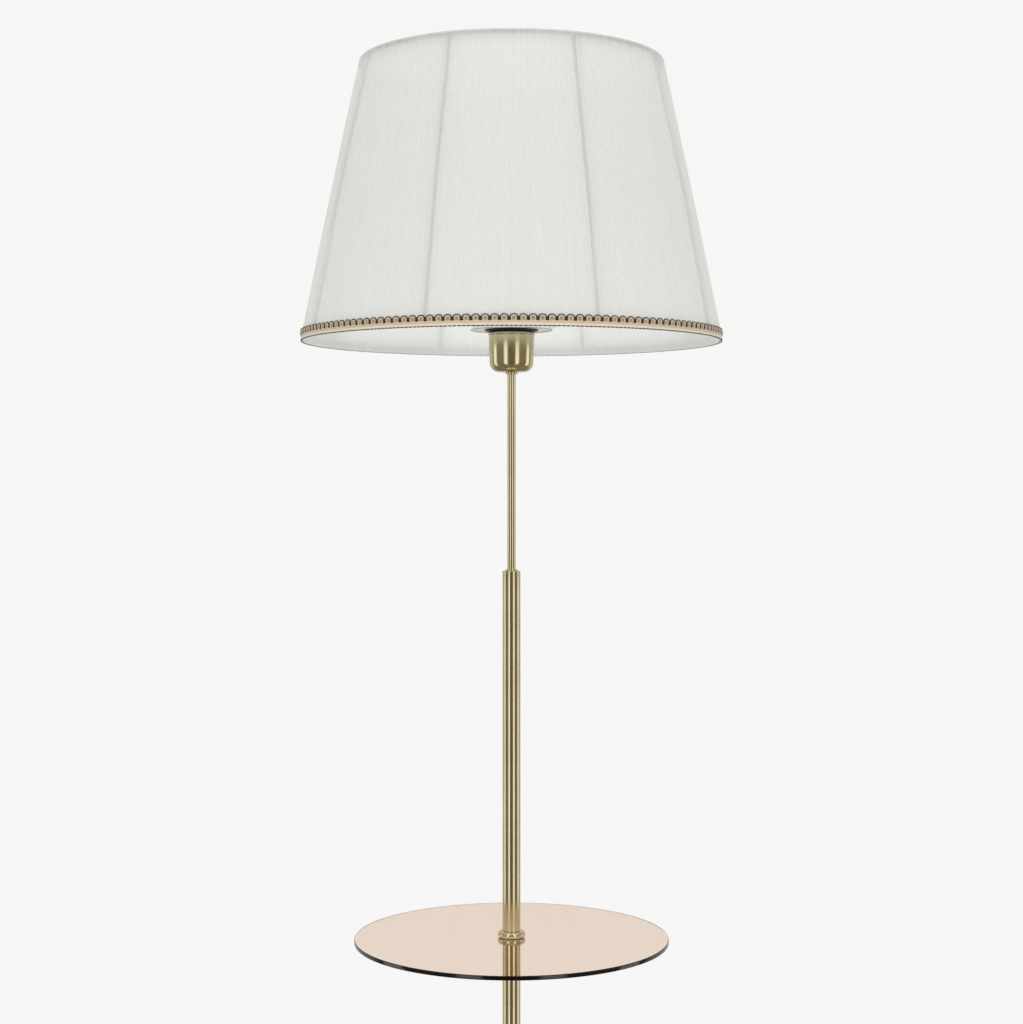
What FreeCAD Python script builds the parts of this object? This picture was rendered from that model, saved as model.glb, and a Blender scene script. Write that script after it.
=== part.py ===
"""Floor lamp with a round glass table, a pleated fabric shade and a weighted round base.

The lamp stands on z = 0 with its pole on the Z axis, and its front faces -Y. All sizes are in millimetres.
From the floor up: a weighted base, a thick lower tube, a round tinted glass table clamped between two turned
beads, a thick middle tube, a stepped cap, a thin upper tube, a lampholder in a metal cup, and a shade whose
fitter plate is clamped on the lampholder between two threaded rings. Threads are drawn as plain rings.
"""

import FreeCAD
import Part
import math
import os

V = FreeCAD.Vector

# ---------------------------------------------------------------- driving dimensions

# clearances
fit_gap = 0.05  # between a plug, tube or stud and the bore that it sits in
slide_gap = 0.2  # between a screwed part and the thread that it runs on, so that it can travel
touch_gap = 0.02  # between a curved face and the face that it is welded or pressed to

# base
base_radius = 140.0
base_rim_height = 12.0  # straight part of the cover's edge, up from the floor
base_edge_radius = 9.0
base_slope_deg = 3.5
base_hub_radius = 24.0
cover_wall = 1.2
cover_ground_gap = 1.0
foot_pad_thickness = 3.0
foot_pad_inner_radius = 36.0
ballast_side_gap = 0.4
ballast_recess_radius = 19.0
ballast_web = 7.0
channel_side_gap = 0.4
channel_height = 9.0
cord_outlet_width = 14.0

# cord inlet at the back of the base
inlet_bore_radius = 3.3
inlet_wall = 0.9
inlet_lip = 1.3
inlet_flange_thickness = 1.75
inlet_inner_length = 2.6
inlet_height = 7.2

# two-pole terminal block in the base
block_width = 20.0
block_length = 24.0
block_height = 10.0
block_distance = 72.0  # from the pole's axis to the block's middle
block_pole_pitch = 10.0
block_tunnel_radius = 1.7
block_tunnel_height = 6.0  # above the block's underside
block_screw_radius = 2.2
block_screw_depth = 1.0  # of its head in the block
screw_slot_width = 0.8
screw_slot_depth = 0.8

# hollow threaded rod, nut and washer
rod_radius = 5.0
rod_bore_radius = 3.9
rod_engagement = 12.0
nut_across_flats = 17.0
nut_height = 5.0
washer_radius = 11.0
washer_thickness = 1.5
rod_tail = 1.0  # rod that stands below its nut

# tubes
thick_tube_radius = 8.6
thick_tube_wall = 1.1
lower_tube_length = 630.3
middle_tube_length = 343.5
plug_length = 14.0
thin_tube_radius = 4.0
thin_tube_wall = 0.8
thin_tube_exposed = 186.5
thin_tube_socket = 8.0  # depth of its seat in the cap
thin_tube_drop = 1.0  # from the lampholder's nipple down to the tube's top

# turned bead, used at the base and on both sides of the glass
bead_radius = 13.3
bead_height = 5.3
bead_web = 1.3
bead_foot_inset = 0.6
bead_neck_wall = 0.8

# stepped cap on the middle tube
cap_height = 4.2
cap_spigot_length = 12.0
cap_step_radius = 5.9
cap_step_height = 1.5
cap_edge = 0.4

# glass table
glass_radius = 150.0
glass_thickness = 4.0
glass_hole_radius = 6.8
glass_edge_round = 0.9
table_washer_radius = 11.2
table_washer_thickness = 0.5

# metal cup round the lampholder
neck_ring_radius = 5.8
neck_ring_height = 1.9
cup_radius = 21.5
cup_height = 36.2
cup_corner_radius = 9.2
cup_wall = 0.8
cup_lip_radius = 0.55
cup_nut_across_flats = 14.0
cup_nut_height = 3.0

# lampholder for a 27 mm screw cap
nipple_length = 10.8
dome_radius = 18.8
dome_neck_radius = 8.0
dome_neck_height = 5.6
dome_cone_height = 8.0
dome_side_height = 7.0
dome_wall = 2.2
dome_ledge = 1.4
insert_height = 9.0
insert_seat_depth = 2.0
insert_wire_hole_gap = 0.2
insert_screw_radius = 1.5
insert_screw_height = 3.2  # above the insert's underside
insert_screw_sink = 1.0  # of its head below the insert's side
nipple_wire_rise = 3.0  # of the wires above the nipple before they part
skirt_radius = 19.0
skirt_height = 37.0
skirt_wall_top = 4.3
skirt_thread_depth = 0.5
skirt_thread_pitch = 2.5
socket_radius = 13.4  # bore of the screw shell between its threads
socket_thread_depth = 0.5
socket_thread_pitch = 3.63
socket_thread_count = 6
socket_wall = 0.4
socket_length = 26.0
contact_rise = 1.6
contact_strip_width = 5.0
contact_strip_thickness = 0.5
contact_strip_reach = 7.9
shell_foot_radius = 9.4
wire_post_distance = 9.5

# threaded rings that clamp the shade
clamp_ring_radius = 25.7
clamp_ring_flange = 1.8
clamp_ring_wall = 0.9  # at the narrow end of its cone
lower_ring_height = 4.4
upper_ring_height = 5.8
ring_seat_gap = 0.3
ring_notch_count = 24
ring_notch_depth = 0.6

# shade
shade_height = 267.3
shade_top_radius = 146.0
shade_bottom_radius = 198.9
shade_bulge = 1.3
shade_cloth = 1.0  # depth of the pleated cloth
shade_drop = 12.3  # from the fitter plate's underside down to the shade's bottom edge
shade_straight_band = 10.8  # upright band at the bottom, which the braid covers
hem_height = 10.2
hem_cloth = 0.8
frame_ring_wire = 2.0
rib_wire = 1.5
rib_count = 8
rib_first_angle = -67.5  # degrees from +X; the front pair stands 22.5 degrees each side of -Y
rib_cloth_gap = 0.2
braid_thickness = 1.7

# fitter plate and its arms
plate_radius = 39.0
plate_thickness = 1.2
arm_wire = 1.6
arm_count = 4
arm_flat_end = 37.0
arm_start_gap = 1.7
arm_rise = 42.0

# bulb
bulb_radius = 30.0
bulb_height = 110.0
bulb_cap_radius = 13.2
bulb_cap_length = 19.5
bulb_cap_wall = 0.4
bulb_shoulder_radius = 26.5
bulb_shell_wall = 1.2
bulb_tip_height = 1.5
bulb_tip_radius = 4.6
bulb_insulator_height = 4.0
bulb_neck_length = 5.0
bulb_neck_lip = 0.4
bulb_plug_depth = 4.0
bulb_flare_draw = 1.7  # how far the flare is drawn in from a straight cone

# insulated wires inside the pole
wire_radius = 1.0
wire_pitch = 2.3
wire_low_height = 5.0
wire_clamp_overrun = 2.0  # of a wire's end past the block's screw
wire_straight_exit = 6.0  # straight run out of the block
wire_part_height = 4.5  # over which the wires part in the lampholder

# ---------------------------------------------------------------- places worked out from the sizes

cover_slope = math.radians(base_slope_deg)
edge_centre_r = base_radius - base_edge_radius
slope_start_r = edge_centre_r + base_edge_radius * math.sin(cover_slope)
slope_start_z = base_rim_height + base_edge_radius * math.cos(cover_slope)
base_top = slope_start_z + (slope_start_r - base_hub_radius) * math.tan(cover_slope)
ballast_radius = edge_centre_r
recess_top = base_top - cover_wall - ballast_web
base_nut_top = recess_top - washer_thickness
base_rod_bottom = base_nut_top - nut_height - rod_tail
block_bottom = foot_pad_thickness
block_tunnel_z = block_bottom + block_tunnel_height

tube_bore = thick_tube_radius - thick_tube_wall
lower_tube_bottom = base_top + bead_web
lower_tube_top = lower_tube_bottom + lower_tube_length
glass_bottom = lower_tube_top + bead_web + table_washer_thickness
glass_top = glass_bottom + glass_thickness
middle_tube_bottom = glass_top + table_washer_thickness + bead_web
middle_tube_top = middle_tube_bottom + middle_tube_length
cap_top = middle_tube_top + cap_height + cap_step_height
thin_tube_bore = thin_tube_radius - thin_tube_wall
thin_tube_bottom = middle_tube_top - thin_tube_socket
cup_bottom = cap_top + thin_tube_exposed + neck_ring_height
cup_floor = cup_bottom + cup_wall
cup_top = cup_bottom + cup_height
nipple_top = cup_floor + nipple_length
thin_tube_top = nipple_top - thin_tube_drop
dome_bottom = cup_floor + cup_nut_height + slide_gap
dome_cone_bottom = dome_bottom + dome_neck_height
dome_side_bottom = dome_cone_bottom + dome_cone_height
dome_top = dome_side_bottom + dome_side_height
dome_cavity_radius = dome_radius - dome_wall
insert_bottom = dome_top - insert_seat_depth
insert_top = insert_bottom + insert_height
insert_radius = dome_cavity_radius - fit_gap
insert_screw_z = insert_bottom + insert_screw_height
skirt_top = dome_top + skirt_height
skirt_bore_top = skirt_radius - skirt_wall_top
clamp_ring_bore = skirt_radius + skirt_thread_depth + slide_gap
lower_ring_bottom = cup_top + fit_gap
plate_bottom = lower_ring_bottom + lower_ring_height
plate_top = plate_bottom + plate_thickness
upper_ring_bottom = plate_top + ring_seat_gap
contact_top = insert_top + contact_rise
bulb_tip = contact_top + ring_seat_gap

shade_bottom = plate_bottom - shade_drop
shade_top = shade_bottom + shade_height
band_top = shade_bottom + shade_straight_band
bottom_ring_r = shade_bottom_radius - shade_cloth - fit_gap - frame_ring_wire
bottom_ring_z = shade_bottom + hem_cloth + fit_gap + frame_ring_wire
top_ring_r = shade_top_radius - shade_cloth - fit_gap - frame_ring_wire
top_ring_z = shade_top - hem_cloth - fit_gap - frame_ring_wire
rib_angles = [rib_first_angle + i * 360.0 / rib_count for i in range(rib_count)]
arm_angles = [rib_first_angle + i * 360.0 / arm_count for i in range(arm_count)]

# ---------------------------------------------------------------- small tools


def edges_of(start, moves):
    """Edges in the XZ plane from start through moves.

    A move (r, z) draws a line to that point, and ((r, z), (r, z)) an arc by its middle and its end.
    """
    edges = []
    here = V(start[0], 0, start[1])
    for move in moves:
        if isinstance(move[0], tuple):
            middle = V(move[0][0], 0, move[0][1])
            there = V(move[1][0], 0, move[1][1])
            edges.append(Part.Arc(here, middle, there).toShape())
        else:
            there = V(move[0], 0, move[1])
            edges.append(Part.LineSegment(here, there).toShape())
        here = there
    return edges


def turned(start, *moves):
    """A solid turned about the Z axis from a closed outline of radius and height."""
    edges = edges_of(start, [*moves, start])
    face = Part.Face(Part.Wire(edges))
    solid = face.revolve(V(0, 0, 0), V(0, 0, 1), 360)
    return solid if solid.Volume > 0 else solid.reversed()


def ring(inner, outer, bottom, top):
    """A plain ring or, with an inner radius of 0, a disc."""
    return turned((inner, bottom), (outer, bottom), (outer, top), (inner, top))


def hex_nut(across_flats, bore, bottom, height):
    """A six-sided nut with a plain bore."""
    corner = across_flats / 2 / math.cos(math.radians(30))
    turns = [math.radians(60 * i) for i in range(7)]
    points = [V(corner * math.cos(a), corner * math.sin(a), bottom) for a in turns]
    body = Part.Face(Part.makePolygon(points)).extrude(V(0, 0, height))
    return body.cut(Part.makeCylinder(bore, height, V(0, 0, bottom)))


def box(width, length, height, x, y, bottom):
    """A box centred on x and y."""
    return Part.makeBox(width, length, height, V(x - width / 2, y - length / 2, bottom))


def smooth_route(points):
    """Straight runs joined by tangent arcs, each as large as 0.45 of its shorter run allows."""
    edges = []
    here = points[0]
    for before, corner, after in zip(points, points[1:], points[2:]):
        back = before - corner
        ahead = after - corner
        trim = 0.45 * min(back.Length, ahead.Length)
        first = corner + V(back).normalize() * trim
        last = corner + V(ahead).normalize() * trim
        half_turn = (math.pi - back.getAngle(ahead)) / 2
        radius = trim / math.tan(half_turn)
        inward = (V(back).normalize() + V(ahead).normalize()).normalize()
        to_centre = math.hypot(trim, radius)
        middle = corner + inward * (to_centre - radius)
        edges.append(Part.LineSegment(here, first).toShape())
        edges.append(Part.Arc(first, middle, last).toShape())
        here = last
    edges.append(Part.LineSegment(here, points[-1]).toShape())
    return Part.Wire(edges)


def rod_along(points, radius):
    """A round wire along a smooth route."""
    route = smooth_route(points) if len(points) > 2 else Part.Wire([Part.LineSegment(*points).toShape()])
    start_direction = points[1] - points[0]
    section = Part.Wire([Part.Circle(points[0], start_direction, radius).toShape()])
    return route.makePipeShell([section], True, False)


def around(shape, angles):
    """Copies of a shape turned about the Z axis, as one group of separate solids."""
    copies = []
    for angle in angles:
        copy = shape.copy()
        copy.rotate(V(0, 0, 0), V(0, 0, 1), angle)
        copies.append(copy)
    return Part.makeCompound(copies)


def thread_moves(radius, depth, bottom, pitch, count):
    """Outline points up a ringed thread whose ridges stand out from radius by depth."""
    points = []
    for i in range(count):
        low = bottom + i * pitch
        points.append((radius, low))
        points.append((radius + depth, low + pitch / 2))
    points.append((radius, bottom + count * pitch))
    return points


# ---------------------------------------------------------------- base


def base_cover():
    """Spun metal cover: upright rim, rounded edge, gentle cone and flat hub."""
    inner_r = base_radius - cover_wall
    inner_edge = base_edge_radius - cover_wall
    half = (math.pi / 2 + cover_slope) / 2
    outer_mid = (
        edge_centre_r + base_edge_radius * math.cos(math.pi / 4 - cover_slope / 2),
        base_rim_height + base_edge_radius * math.sin(math.pi / 4 - cover_slope / 2),
    )
    inner_mid = (
        edge_centre_r + inner_edge * math.sin(half),
        base_rim_height + inner_edge * math.cos(half),
    )
    inner_slope_start = (
        edge_centre_r + inner_edge * math.sin(cover_slope),
        base_rim_height + inner_edge * math.cos(cover_slope),
    )
    drop = cover_wall / math.cos(cover_slope)
    hub_under = base_top - cover_wall
    inner_hub_r = base_hub_radius + (drop - cover_wall) / math.tan(cover_slope)
    cover = turned(
        (rod_radius + slide_gap, base_top),
        (base_hub_radius, base_top),
        (slope_start_r, slope_start_z),
        (outer_mid, (base_radius, base_rim_height)),
        (base_radius, cover_ground_gap),
        (inner_r, cover_ground_gap),
        (inner_r, base_rim_height),
        (inner_mid, inner_slope_start),
        (inner_hub_r, hub_under),
        (rod_radius + slide_gap, hub_under),
    )
    hole_radius = inlet_bore_radius + inlet_wall + fit_gap
    hole_start = V(0, inner_r - cover_wall, inlet_height)
    hole = Part.makeCylinder(hole_radius, 4 * cover_wall, hole_start, V(0, 1, 0))
    return cover.cut(hole)


def base_ballast():
    """Cast iron disc that fills the cover, with a recess for the nut and a channel for the wires."""
    drop = cover_wall / math.cos(cover_slope) + ballast_side_gap
    edge_top = slope_start_z + (slope_start_r - ballast_radius) * math.tan(cover_slope) - drop
    hub_top = base_top - cover_wall
    hub_foot = base_top - drop
    disc = turned(
        (rod_radius + slide_gap, recess_top),
        (ballast_recess_radius, recess_top),
        (ballast_recess_radius, foot_pad_thickness),
        (ballast_radius, foot_pad_thickness),
        (ballast_radius, edge_top),
        (base_hub_radius, hub_foot),
        (base_hub_radius - ballast_side_gap, hub_top),
        (rod_radius + slide_gap, hub_top),
    )
    channel = box(
        block_pole_pitch + 2 * (wire_radius + channel_side_gap),
        block_distance,
        channel_height,
        0,
        block_distance / 2,
        foot_pad_thickness,
    )
    pocket = box(
        block_width + 2 * ballast_side_gap,
        block_length + 2 * ballast_side_gap,
        block_height + ballast_side_gap,
        0,
        block_distance,
        foot_pad_thickness,
    )
    outlet = box(
        cord_outlet_width,
        ballast_radius,
        channel_height,
        0,
        block_distance + ballast_radius / 2,
        foot_pad_thickness,
    )
    return disc.cut(channel).cut(pocket).cut(outlet)


def foot_pad():
    """Soft ring under the ballast, which the lamp stands on."""
    return ring(foot_pad_inner_radius, ballast_radius - ballast_side_gap, 0, foot_pad_thickness)


def cord_bushing():
    """Grooved bushing in the cover's rim, with its bore along +Y."""
    lip_radius = inlet_bore_radius + inlet_wall + inlet_lip
    body_radius = inlet_bore_radius + inlet_wall
    wall_inside = -cover_wall - slide_gap
    inner_end = wall_inside - inlet_inner_length
    round_off = inlet_lip / 2
    bushing = turned(
        (inlet_bore_radius, inner_end),
        (lip_radius, inner_end),
        (lip_radius, wall_inside),
        (body_radius, wall_inside),
        (body_radius, touch_gap),
        (lip_radius, touch_gap),
        (lip_radius, inlet_flange_thickness - round_off),
        (lip_radius - round_off, inlet_flange_thickness),
        (inlet_bore_radius, inlet_flange_thickness),
    )
    bushing.rotate(V(0, 0, 0), V(1, 0, 0), -90)
    bushing.translate(V(0, base_radius, inlet_height))
    return bushing


def block_poles():
    """The X places of the terminal block's two poles."""
    return [-block_pole_pitch / 2, block_pole_pitch / 2]


def terminal_block():
    """Two-pole connector: one tunnel for each pole, with clamping screws from below."""
    block = box(block_width, block_length, block_height, 0, block_distance, block_bottom)
    for x in block_poles():
        tunnel_start = V(x, block_distance - block_length, block_tunnel_z)
        block = block.cut(Part.makeCylinder(block_tunnel_radius, 2 * block_length, tunnel_start, V(0, 1, 0)))
        for side in (-1, 1):
            y = block_distance + side * block_length / 4
            depth = block_tunnel_z - block_bottom
            block = block.cut(Part.makeCylinder(block_screw_radius, depth, V(x, y, block_bottom)))
    return block


def terminal_block_screws():
    """Four slotted clamping screws in the block."""
    screws = []
    bottom = block_bottom + block_screw_depth
    top = block_tunnel_z - wire_radius - fit_gap
    for x in block_poles():
        for side in (-1, 1):
            y = block_distance + side * block_length / 4
            screw = Part.makeCylinder(block_screw_radius - fit_gap, top - bottom, V(x, y, bottom))
            slot = box(screw_slot_width, 4 * block_screw_radius, screw_slot_depth, x, y, bottom)
            screws.append(screw.cut(slot))
    return Part.makeCompound(screws)


# ---------------------------------------------------------------- pole


def threaded_rod(bottom, top):
    """Hollow threaded rod."""
    return ring(rod_bore_radius, rod_radius, bottom, top)


def bead(face, upwards):
    """Turned half-round bead that hides a tube's end. It stands above or below the level called face."""
    seat = thick_tube_radius + fit_gap
    side = 1 if upwards else -1
    neck = (seat + bead_neck_wall, face + side * bead_height)
    widest = (bead_radius, face + side * bead_height / 3)
    bore = rod_radius + slide_gap
    return turned(
        (bore, face),
        (bead_radius - bead_foot_inset, face),
        (widest, neck),
        (seat, face + side * bead_height),
        (seat, face + side * bead_web),
        (bore, face + side * bead_web),
    )


def thick_tube(bottom, top):
    """Plain length of the thick tube."""
    return ring(tube_bore, thick_tube_radius, bottom, top)


def tube_plug(bottom, top):
    """Threaded plug pressed into a tube's end."""
    return ring(rod_radius + fit_gap, tube_bore - fit_gap, bottom, top)


def tube_cap():
    """Stepped cap on the middle tube, with a spigot inside it and a seat for the thin tube."""
    spigot = tube_bore - fit_gap
    step_bottom = middle_tube_top + cap_height
    seat = thin_tube_radius + fit_gap
    return turned(
        (thin_tube_bore, middle_tube_top - cap_spigot_length),
        (spigot, middle_tube_top - cap_spigot_length),
        (spigot, middle_tube_top),
        (thick_tube_radius, middle_tube_top),
        (thick_tube_radius, step_bottom - cap_edge),
        (thick_tube_radius - cap_edge, step_bottom),
        (cap_step_radius, step_bottom),
        (cap_step_radius, cap_top - cap_edge),
        (cap_step_radius - cap_edge, cap_top),
        (seat, cap_top),
        (seat, thin_tube_bottom),
        (thin_tube_bore, thin_tube_bottom),
    )


def thin_tube():
    """Thin upper tube, from its seat in the cap up into the lampholder."""
    return ring(thin_tube_bore, thin_tube_radius, thin_tube_bottom, thin_tube_top)


# ---------------------------------------------------------------- glass table


def table_glass():
    """Round glass with softened edges and a hole for the rod."""
    soft = glass_edge_round
    half_way = soft * (1 - math.sqrt(0.5))
    return turned(
        (glass_hole_radius, glass_bottom),
        (glass_radius - soft, glass_bottom),
        ((glass_radius - half_way, glass_bottom + half_way), (glass_radius, glass_bottom + soft)),
        (glass_radius, glass_top - soft),
        ((glass_radius - half_way, glass_top - half_way), (glass_radius - soft, glass_top)),
        (glass_hole_radius, glass_top),
    )


# ---------------------------------------------------------------- lampholder


def holder_cup():
    """Thin metal cup with a rounded foot and a small rolled lip."""
    corner = cup_corner_radius
    inner_corner = corner - cup_wall
    turn_r = cup_radius - corner
    turn_z = cup_bottom + corner
    diagonal = math.sqrt(0.5)
    inner_r = cup_radius - cup_wall
    lip_z = cup_top - cup_lip_radius
    return turned(
        (thin_tube_radius + fit_gap, cup_bottom),
        (turn_r, cup_bottom),
        ((turn_r + corner * diagonal, turn_z - corner * diagonal), (cup_radius, turn_z)),
        (cup_radius, lip_z - cup_lip_radius),
        ((cup_radius + cup_lip_radius, lip_z), (cup_radius, cup_top)),
        (inner_r, cup_top),
        (inner_r, turn_z),
        (
            (turn_r + inner_corner * diagonal, turn_z - inner_corner * diagonal),
            (turn_r, cup_floor),
        ),
        (thin_tube_radius + fit_gap, cup_floor),
    )


def holder_dome():
    """Lower half of the lampholder: threaded neck, cone and a ledge for the insert."""
    bore = rod_radius + fit_gap
    ledge_r = dome_cavity_radius - dome_ledge
    slope = dome_cone_height / (dome_radius - dome_neck_radius)
    cone_inside = dome_cone_bottom + dome_wall
    return turned(
        (bore, dome_bottom),
        (dome_neck_radius, dome_bottom),
        (dome_neck_radius, dome_cone_bottom),
        (dome_radius, dome_side_bottom),
        (dome_radius, dome_top),
        (dome_cavity_radius, dome_top),
        (dome_cavity_radius, insert_bottom),
        (ledge_r, insert_bottom),
        (ledge_r, cone_inside + slope * (ledge_r - bore)),
        (bore, cone_inside),
    )


def holder_insert():
    """Insulating core with a wire hole for each terminal and a screw hole in from each side."""
    core = ring(0, insert_radius, insert_bottom, insert_top)
    hole_radius = wire_radius + insert_wire_hole_gap
    for side in (-1, 1):
        x = side * wire_post_distance
        core = core.cut(Part.makeCylinder(hole_radius, insert_height / 2, V(x, 0, insert_bottom)))
        screw_start = V(x, 0, insert_screw_z)
        core = core.cut(Part.makeCylinder(insert_screw_radius, insert_radius, screw_start, V(side, 0, 0)))
    return core


def holder_terminal_screws():
    """Two slotted screws that clamp the wires in the insert."""
    screws = []
    inner = wire_post_distance + wire_radius + fit_gap
    outer = insert_radius - insert_screw_sink
    for side in (-1, 1):
        start = V(side * inner, 0, insert_screw_z)
        screw = Part.makeCylinder(insert_screw_radius - fit_gap, outer - inner, start, V(side, 0, 0))
        slot_x = side * (outer - screw_slot_depth / 2)
        slot_bottom = insert_screw_z - screw_slot_width / 2
        slot = box(screw_slot_depth, 4 * insert_screw_radius, screw_slot_width, slot_x, 0, slot_bottom)
        screws.append(screw.cut(slot))
    return Part.makeCompound(screws)


def holder_skirt():
    """Outer sleeve of the lampholder, with the thread for the clamp rings."""
    count = int((skirt_height - 2 * skirt_thread_pitch) / skirt_thread_pitch)
    thread_bottom = skirt_top - skirt_thread_pitch - count * skirt_thread_pitch
    shoulder = insert_top + fit_gap
    return turned(
        (dome_cavity_radius, dome_top + fit_gap),
        (skirt_radius, dome_top + fit_gap),
        *thread_moves(skirt_radius, skirt_thread_depth, thread_bottom, skirt_thread_pitch, count),
        (skirt_radius, skirt_top),
        (skirt_bore_top, skirt_top),
        (skirt_bore_top, shoulder),
        (dome_cavity_radius, shoulder),
    )


def holder_shell():
    """Screw shell for the bulb: thin ringed sleeve with a foot flange on the insert."""
    foot = insert_top
    thread_bottom = foot + socket_length - (socket_thread_count + 0.5) * socket_thread_pitch
    inside = thread_moves(
        socket_radius,
        socket_thread_depth,
        thread_bottom,
        socket_thread_pitch,
        socket_thread_count,
    )
    outside = [(r + socket_wall, z) for r, z in reversed(inside)]
    return turned(
        (shell_foot_radius, foot),
        (socket_radius + socket_wall, foot),
        *reversed(outside),
        (socket_radius + socket_wall, foot + socket_length),
        (socket_radius, foot + socket_length),
        *reversed(inside),
        (socket_radius, foot + socket_wall),
        (shell_foot_radius, foot + socket_wall),
    )


def centre_contact():
    """Sprung brass tongue that presses on the bulb's tip."""
    thick = contact_strip_thickness
    reach = contact_strip_reach
    bend = reach / 2
    tip = -reach / 4
    foot = insert_top
    outline = [
        V(reach, 0, foot),
        V(reach, 0, foot + thick),
        V(bend, 0, foot + thick),
        V(0, 0, contact_top),
        V(tip, 0, contact_top),
        V(tip, 0, contact_top - thick),
        V(0, 0, contact_top - thick),
        V(bend, 0, foot),
        V(reach, 0, foot),
    ]
    face = Part.Face(Part.makePolygon(outline))
    strip = face.extrude(V(0, contact_strip_width, 0))
    strip.translate(V(0, -contact_strip_width / 2, 0))
    return strip


def clamp_ring(wide_face, height, upwards):
    """Threaded ring: a wide notched rim at the level called wide_face, and a cone away from the plate."""
    side = 1 if upwards else -1
    rim_edge = wide_face + side * clamp_ring_flange
    narrow_face = wide_face + side * height
    body = turned(
        (clamp_ring_bore, wide_face),
        (clamp_ring_radius, wide_face),
        (clamp_ring_radius, rim_edge),
        (clamp_ring_bore + clamp_ring_wall, narrow_face),
        (clamp_ring_bore, narrow_face),
    )
    notch_bottom = min(wide_face, rim_edge)
    notch = Part.makeCylinder(ring_notch_depth, clamp_ring_flange, V(clamp_ring_radius, 0, notch_bottom))
    turns = [i * 360.0 / ring_notch_count for i in range(ring_notch_count)]
    return body.cut(around(notch, turns))


# ---------------------------------------------------------------- shade


def cloth_bulge_point(inset):
    """Middle of the cloth's upper outline, moved in by inset."""
    middle_r = (shade_top_radius + shade_bottom_radius) / 2 + shade_bulge - inset
    middle_z = (shade_top + band_top) / 2
    return middle_r, middle_z


def shade_fabric():
    """Pleated cover as one open cone: upright band at the bottom, then a slightly swelled cone."""
    inner_bottom = shade_bottom_radius - shade_cloth
    inner_top = shade_top_radius - shade_cloth
    return turned(
        (inner_bottom, shade_bottom),
        (shade_bottom_radius, shade_bottom),
        (shade_bottom_radius, band_top),
        (cloth_bulge_point(0), (shade_top_radius, shade_top)),
        (inner_top, shade_top),
        (cloth_bulge_point(shade_cloth), (inner_bottom, band_top)),
    )


def shade_fold(ring_r, edge_z, inside):
    """Cloth folded round a frame ring: a strip across the ring's edge and a band inside it."""
    across = edge_z + inside * hem_cloth
    end = edge_z + inside * hem_height
    outer = ring_r + frame_ring_wire
    inner = ring_r - frame_ring_wire - fit_gap
    return turned(
        (outer, edge_z),
        (outer, across),
        (inner, across),
        (inner, end),
        (inner - hem_cloth, end),
        (inner - hem_cloth, edge_z),
    )


def frame_ring(ring_r, ring_z):
    """Wire ring of the shade's frame."""
    return Part.makeTorus(ring_r, frame_ring_wire, V(0, 0, ring_z))


def rib_points():
    """Radius and height of a rib's centre line from the bottom ring to the top ring."""
    inset = shade_cloth + rib_cloth_gap + rib_wire
    middle_r, middle_z = cloth_bulge_point(inset)
    clear = frame_ring_wire + fit_gap
    return [
        (bottom_ring_r, bottom_ring_z + clear),
        (bottom_ring_r, band_top - rib_wire),
        (middle_r, middle_z),
        (top_ring_r, top_ring_z - clear),
    ]


def shade_ribs():
    """Upright wires of the shade's frame."""
    rib = rod_along([V(r, 0, z) for r, z in rib_points()], rib_wire)
    return around(rib, rib_angles)


def rib_radius_at(height):
    """Radius of a rib's centre line at a height between its second and third points."""
    _, (low_r, low_z), (high_r, high_z), _ = rib_points()
    share = (height - low_z) / (high_z - low_z)
    return low_r + share * (high_r - low_r)


def fitter_plate():
    """Round plate that sits on the lower clamp ring."""
    soft = plate_thickness / 4
    return turned(
        (clamp_ring_bore, plate_bottom),
        (plate_radius - soft, plate_bottom),
        (plate_radius, plate_bottom + soft),
        (plate_radius, plate_top - soft),
        (plate_radius - soft, plate_top),
        (clamp_ring_bore, plate_top),
    )


def fitter_arms():
    """Wires from the fitter plate up to every other rib."""
    level = plate_top + arm_wire + touch_gap
    end_z = plate_top + arm_rise
    end_r = rib_radius_at(end_z) - rib_wire - arm_wire * 0.4
    start_r = clamp_ring_radius + arm_start_gap
    arm = rod_along([V(start_r, 0, level), V(arm_flat_end, 0, level), V(end_r, 0, end_z)], arm_wire)
    return around(arm, arm_angles)


def shade_braid():
    """Trimming band glued round the upright part of the cloth."""
    inner = shade_bottom_radius + touch_gap
    return ring(inner, inner + braid_thickness, shade_bottom, band_top)


# ---------------------------------------------------------------- bulb

bulb_cap_bottom = bulb_tip + bulb_tip_height + bulb_insulator_height
bulb_cap_top = bulb_cap_bottom + bulb_cap_length
bulb_centre_z = bulb_tip + bulb_height - bulb_radius
shoulder_z = bulb_centre_z - math.sqrt(bulb_radius**2 - bulb_shoulder_radius**2)


def bulb_contact():
    """Tip contact."""
    soft = bulb_tip_height / 4
    return turned(
        (0, bulb_tip),
        (bulb_tip_radius - soft, bulb_tip),
        (bulb_tip_radius, bulb_tip + soft),
        (bulb_tip_radius, bulb_tip + bulb_tip_height),
        (0, bulb_tip + bulb_tip_height),
    )


def bulb_insulator():
    """Insulating cone between the tip contact and the screw cap."""
    bottom = bulb_tip + bulb_tip_height
    seat = bulb_cap_radius - socket_thread_depth - bulb_cap_wall - fit_gap
    return turned(
        (0, bottom),
        (bulb_tip_radius + bulb_neck_lip, bottom),
        (seat, bulb_cap_bottom),
        (seat, bulb_cap_bottom + bulb_tip_height),
        (0, bulb_cap_bottom + bulb_tip_height),
    )


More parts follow.
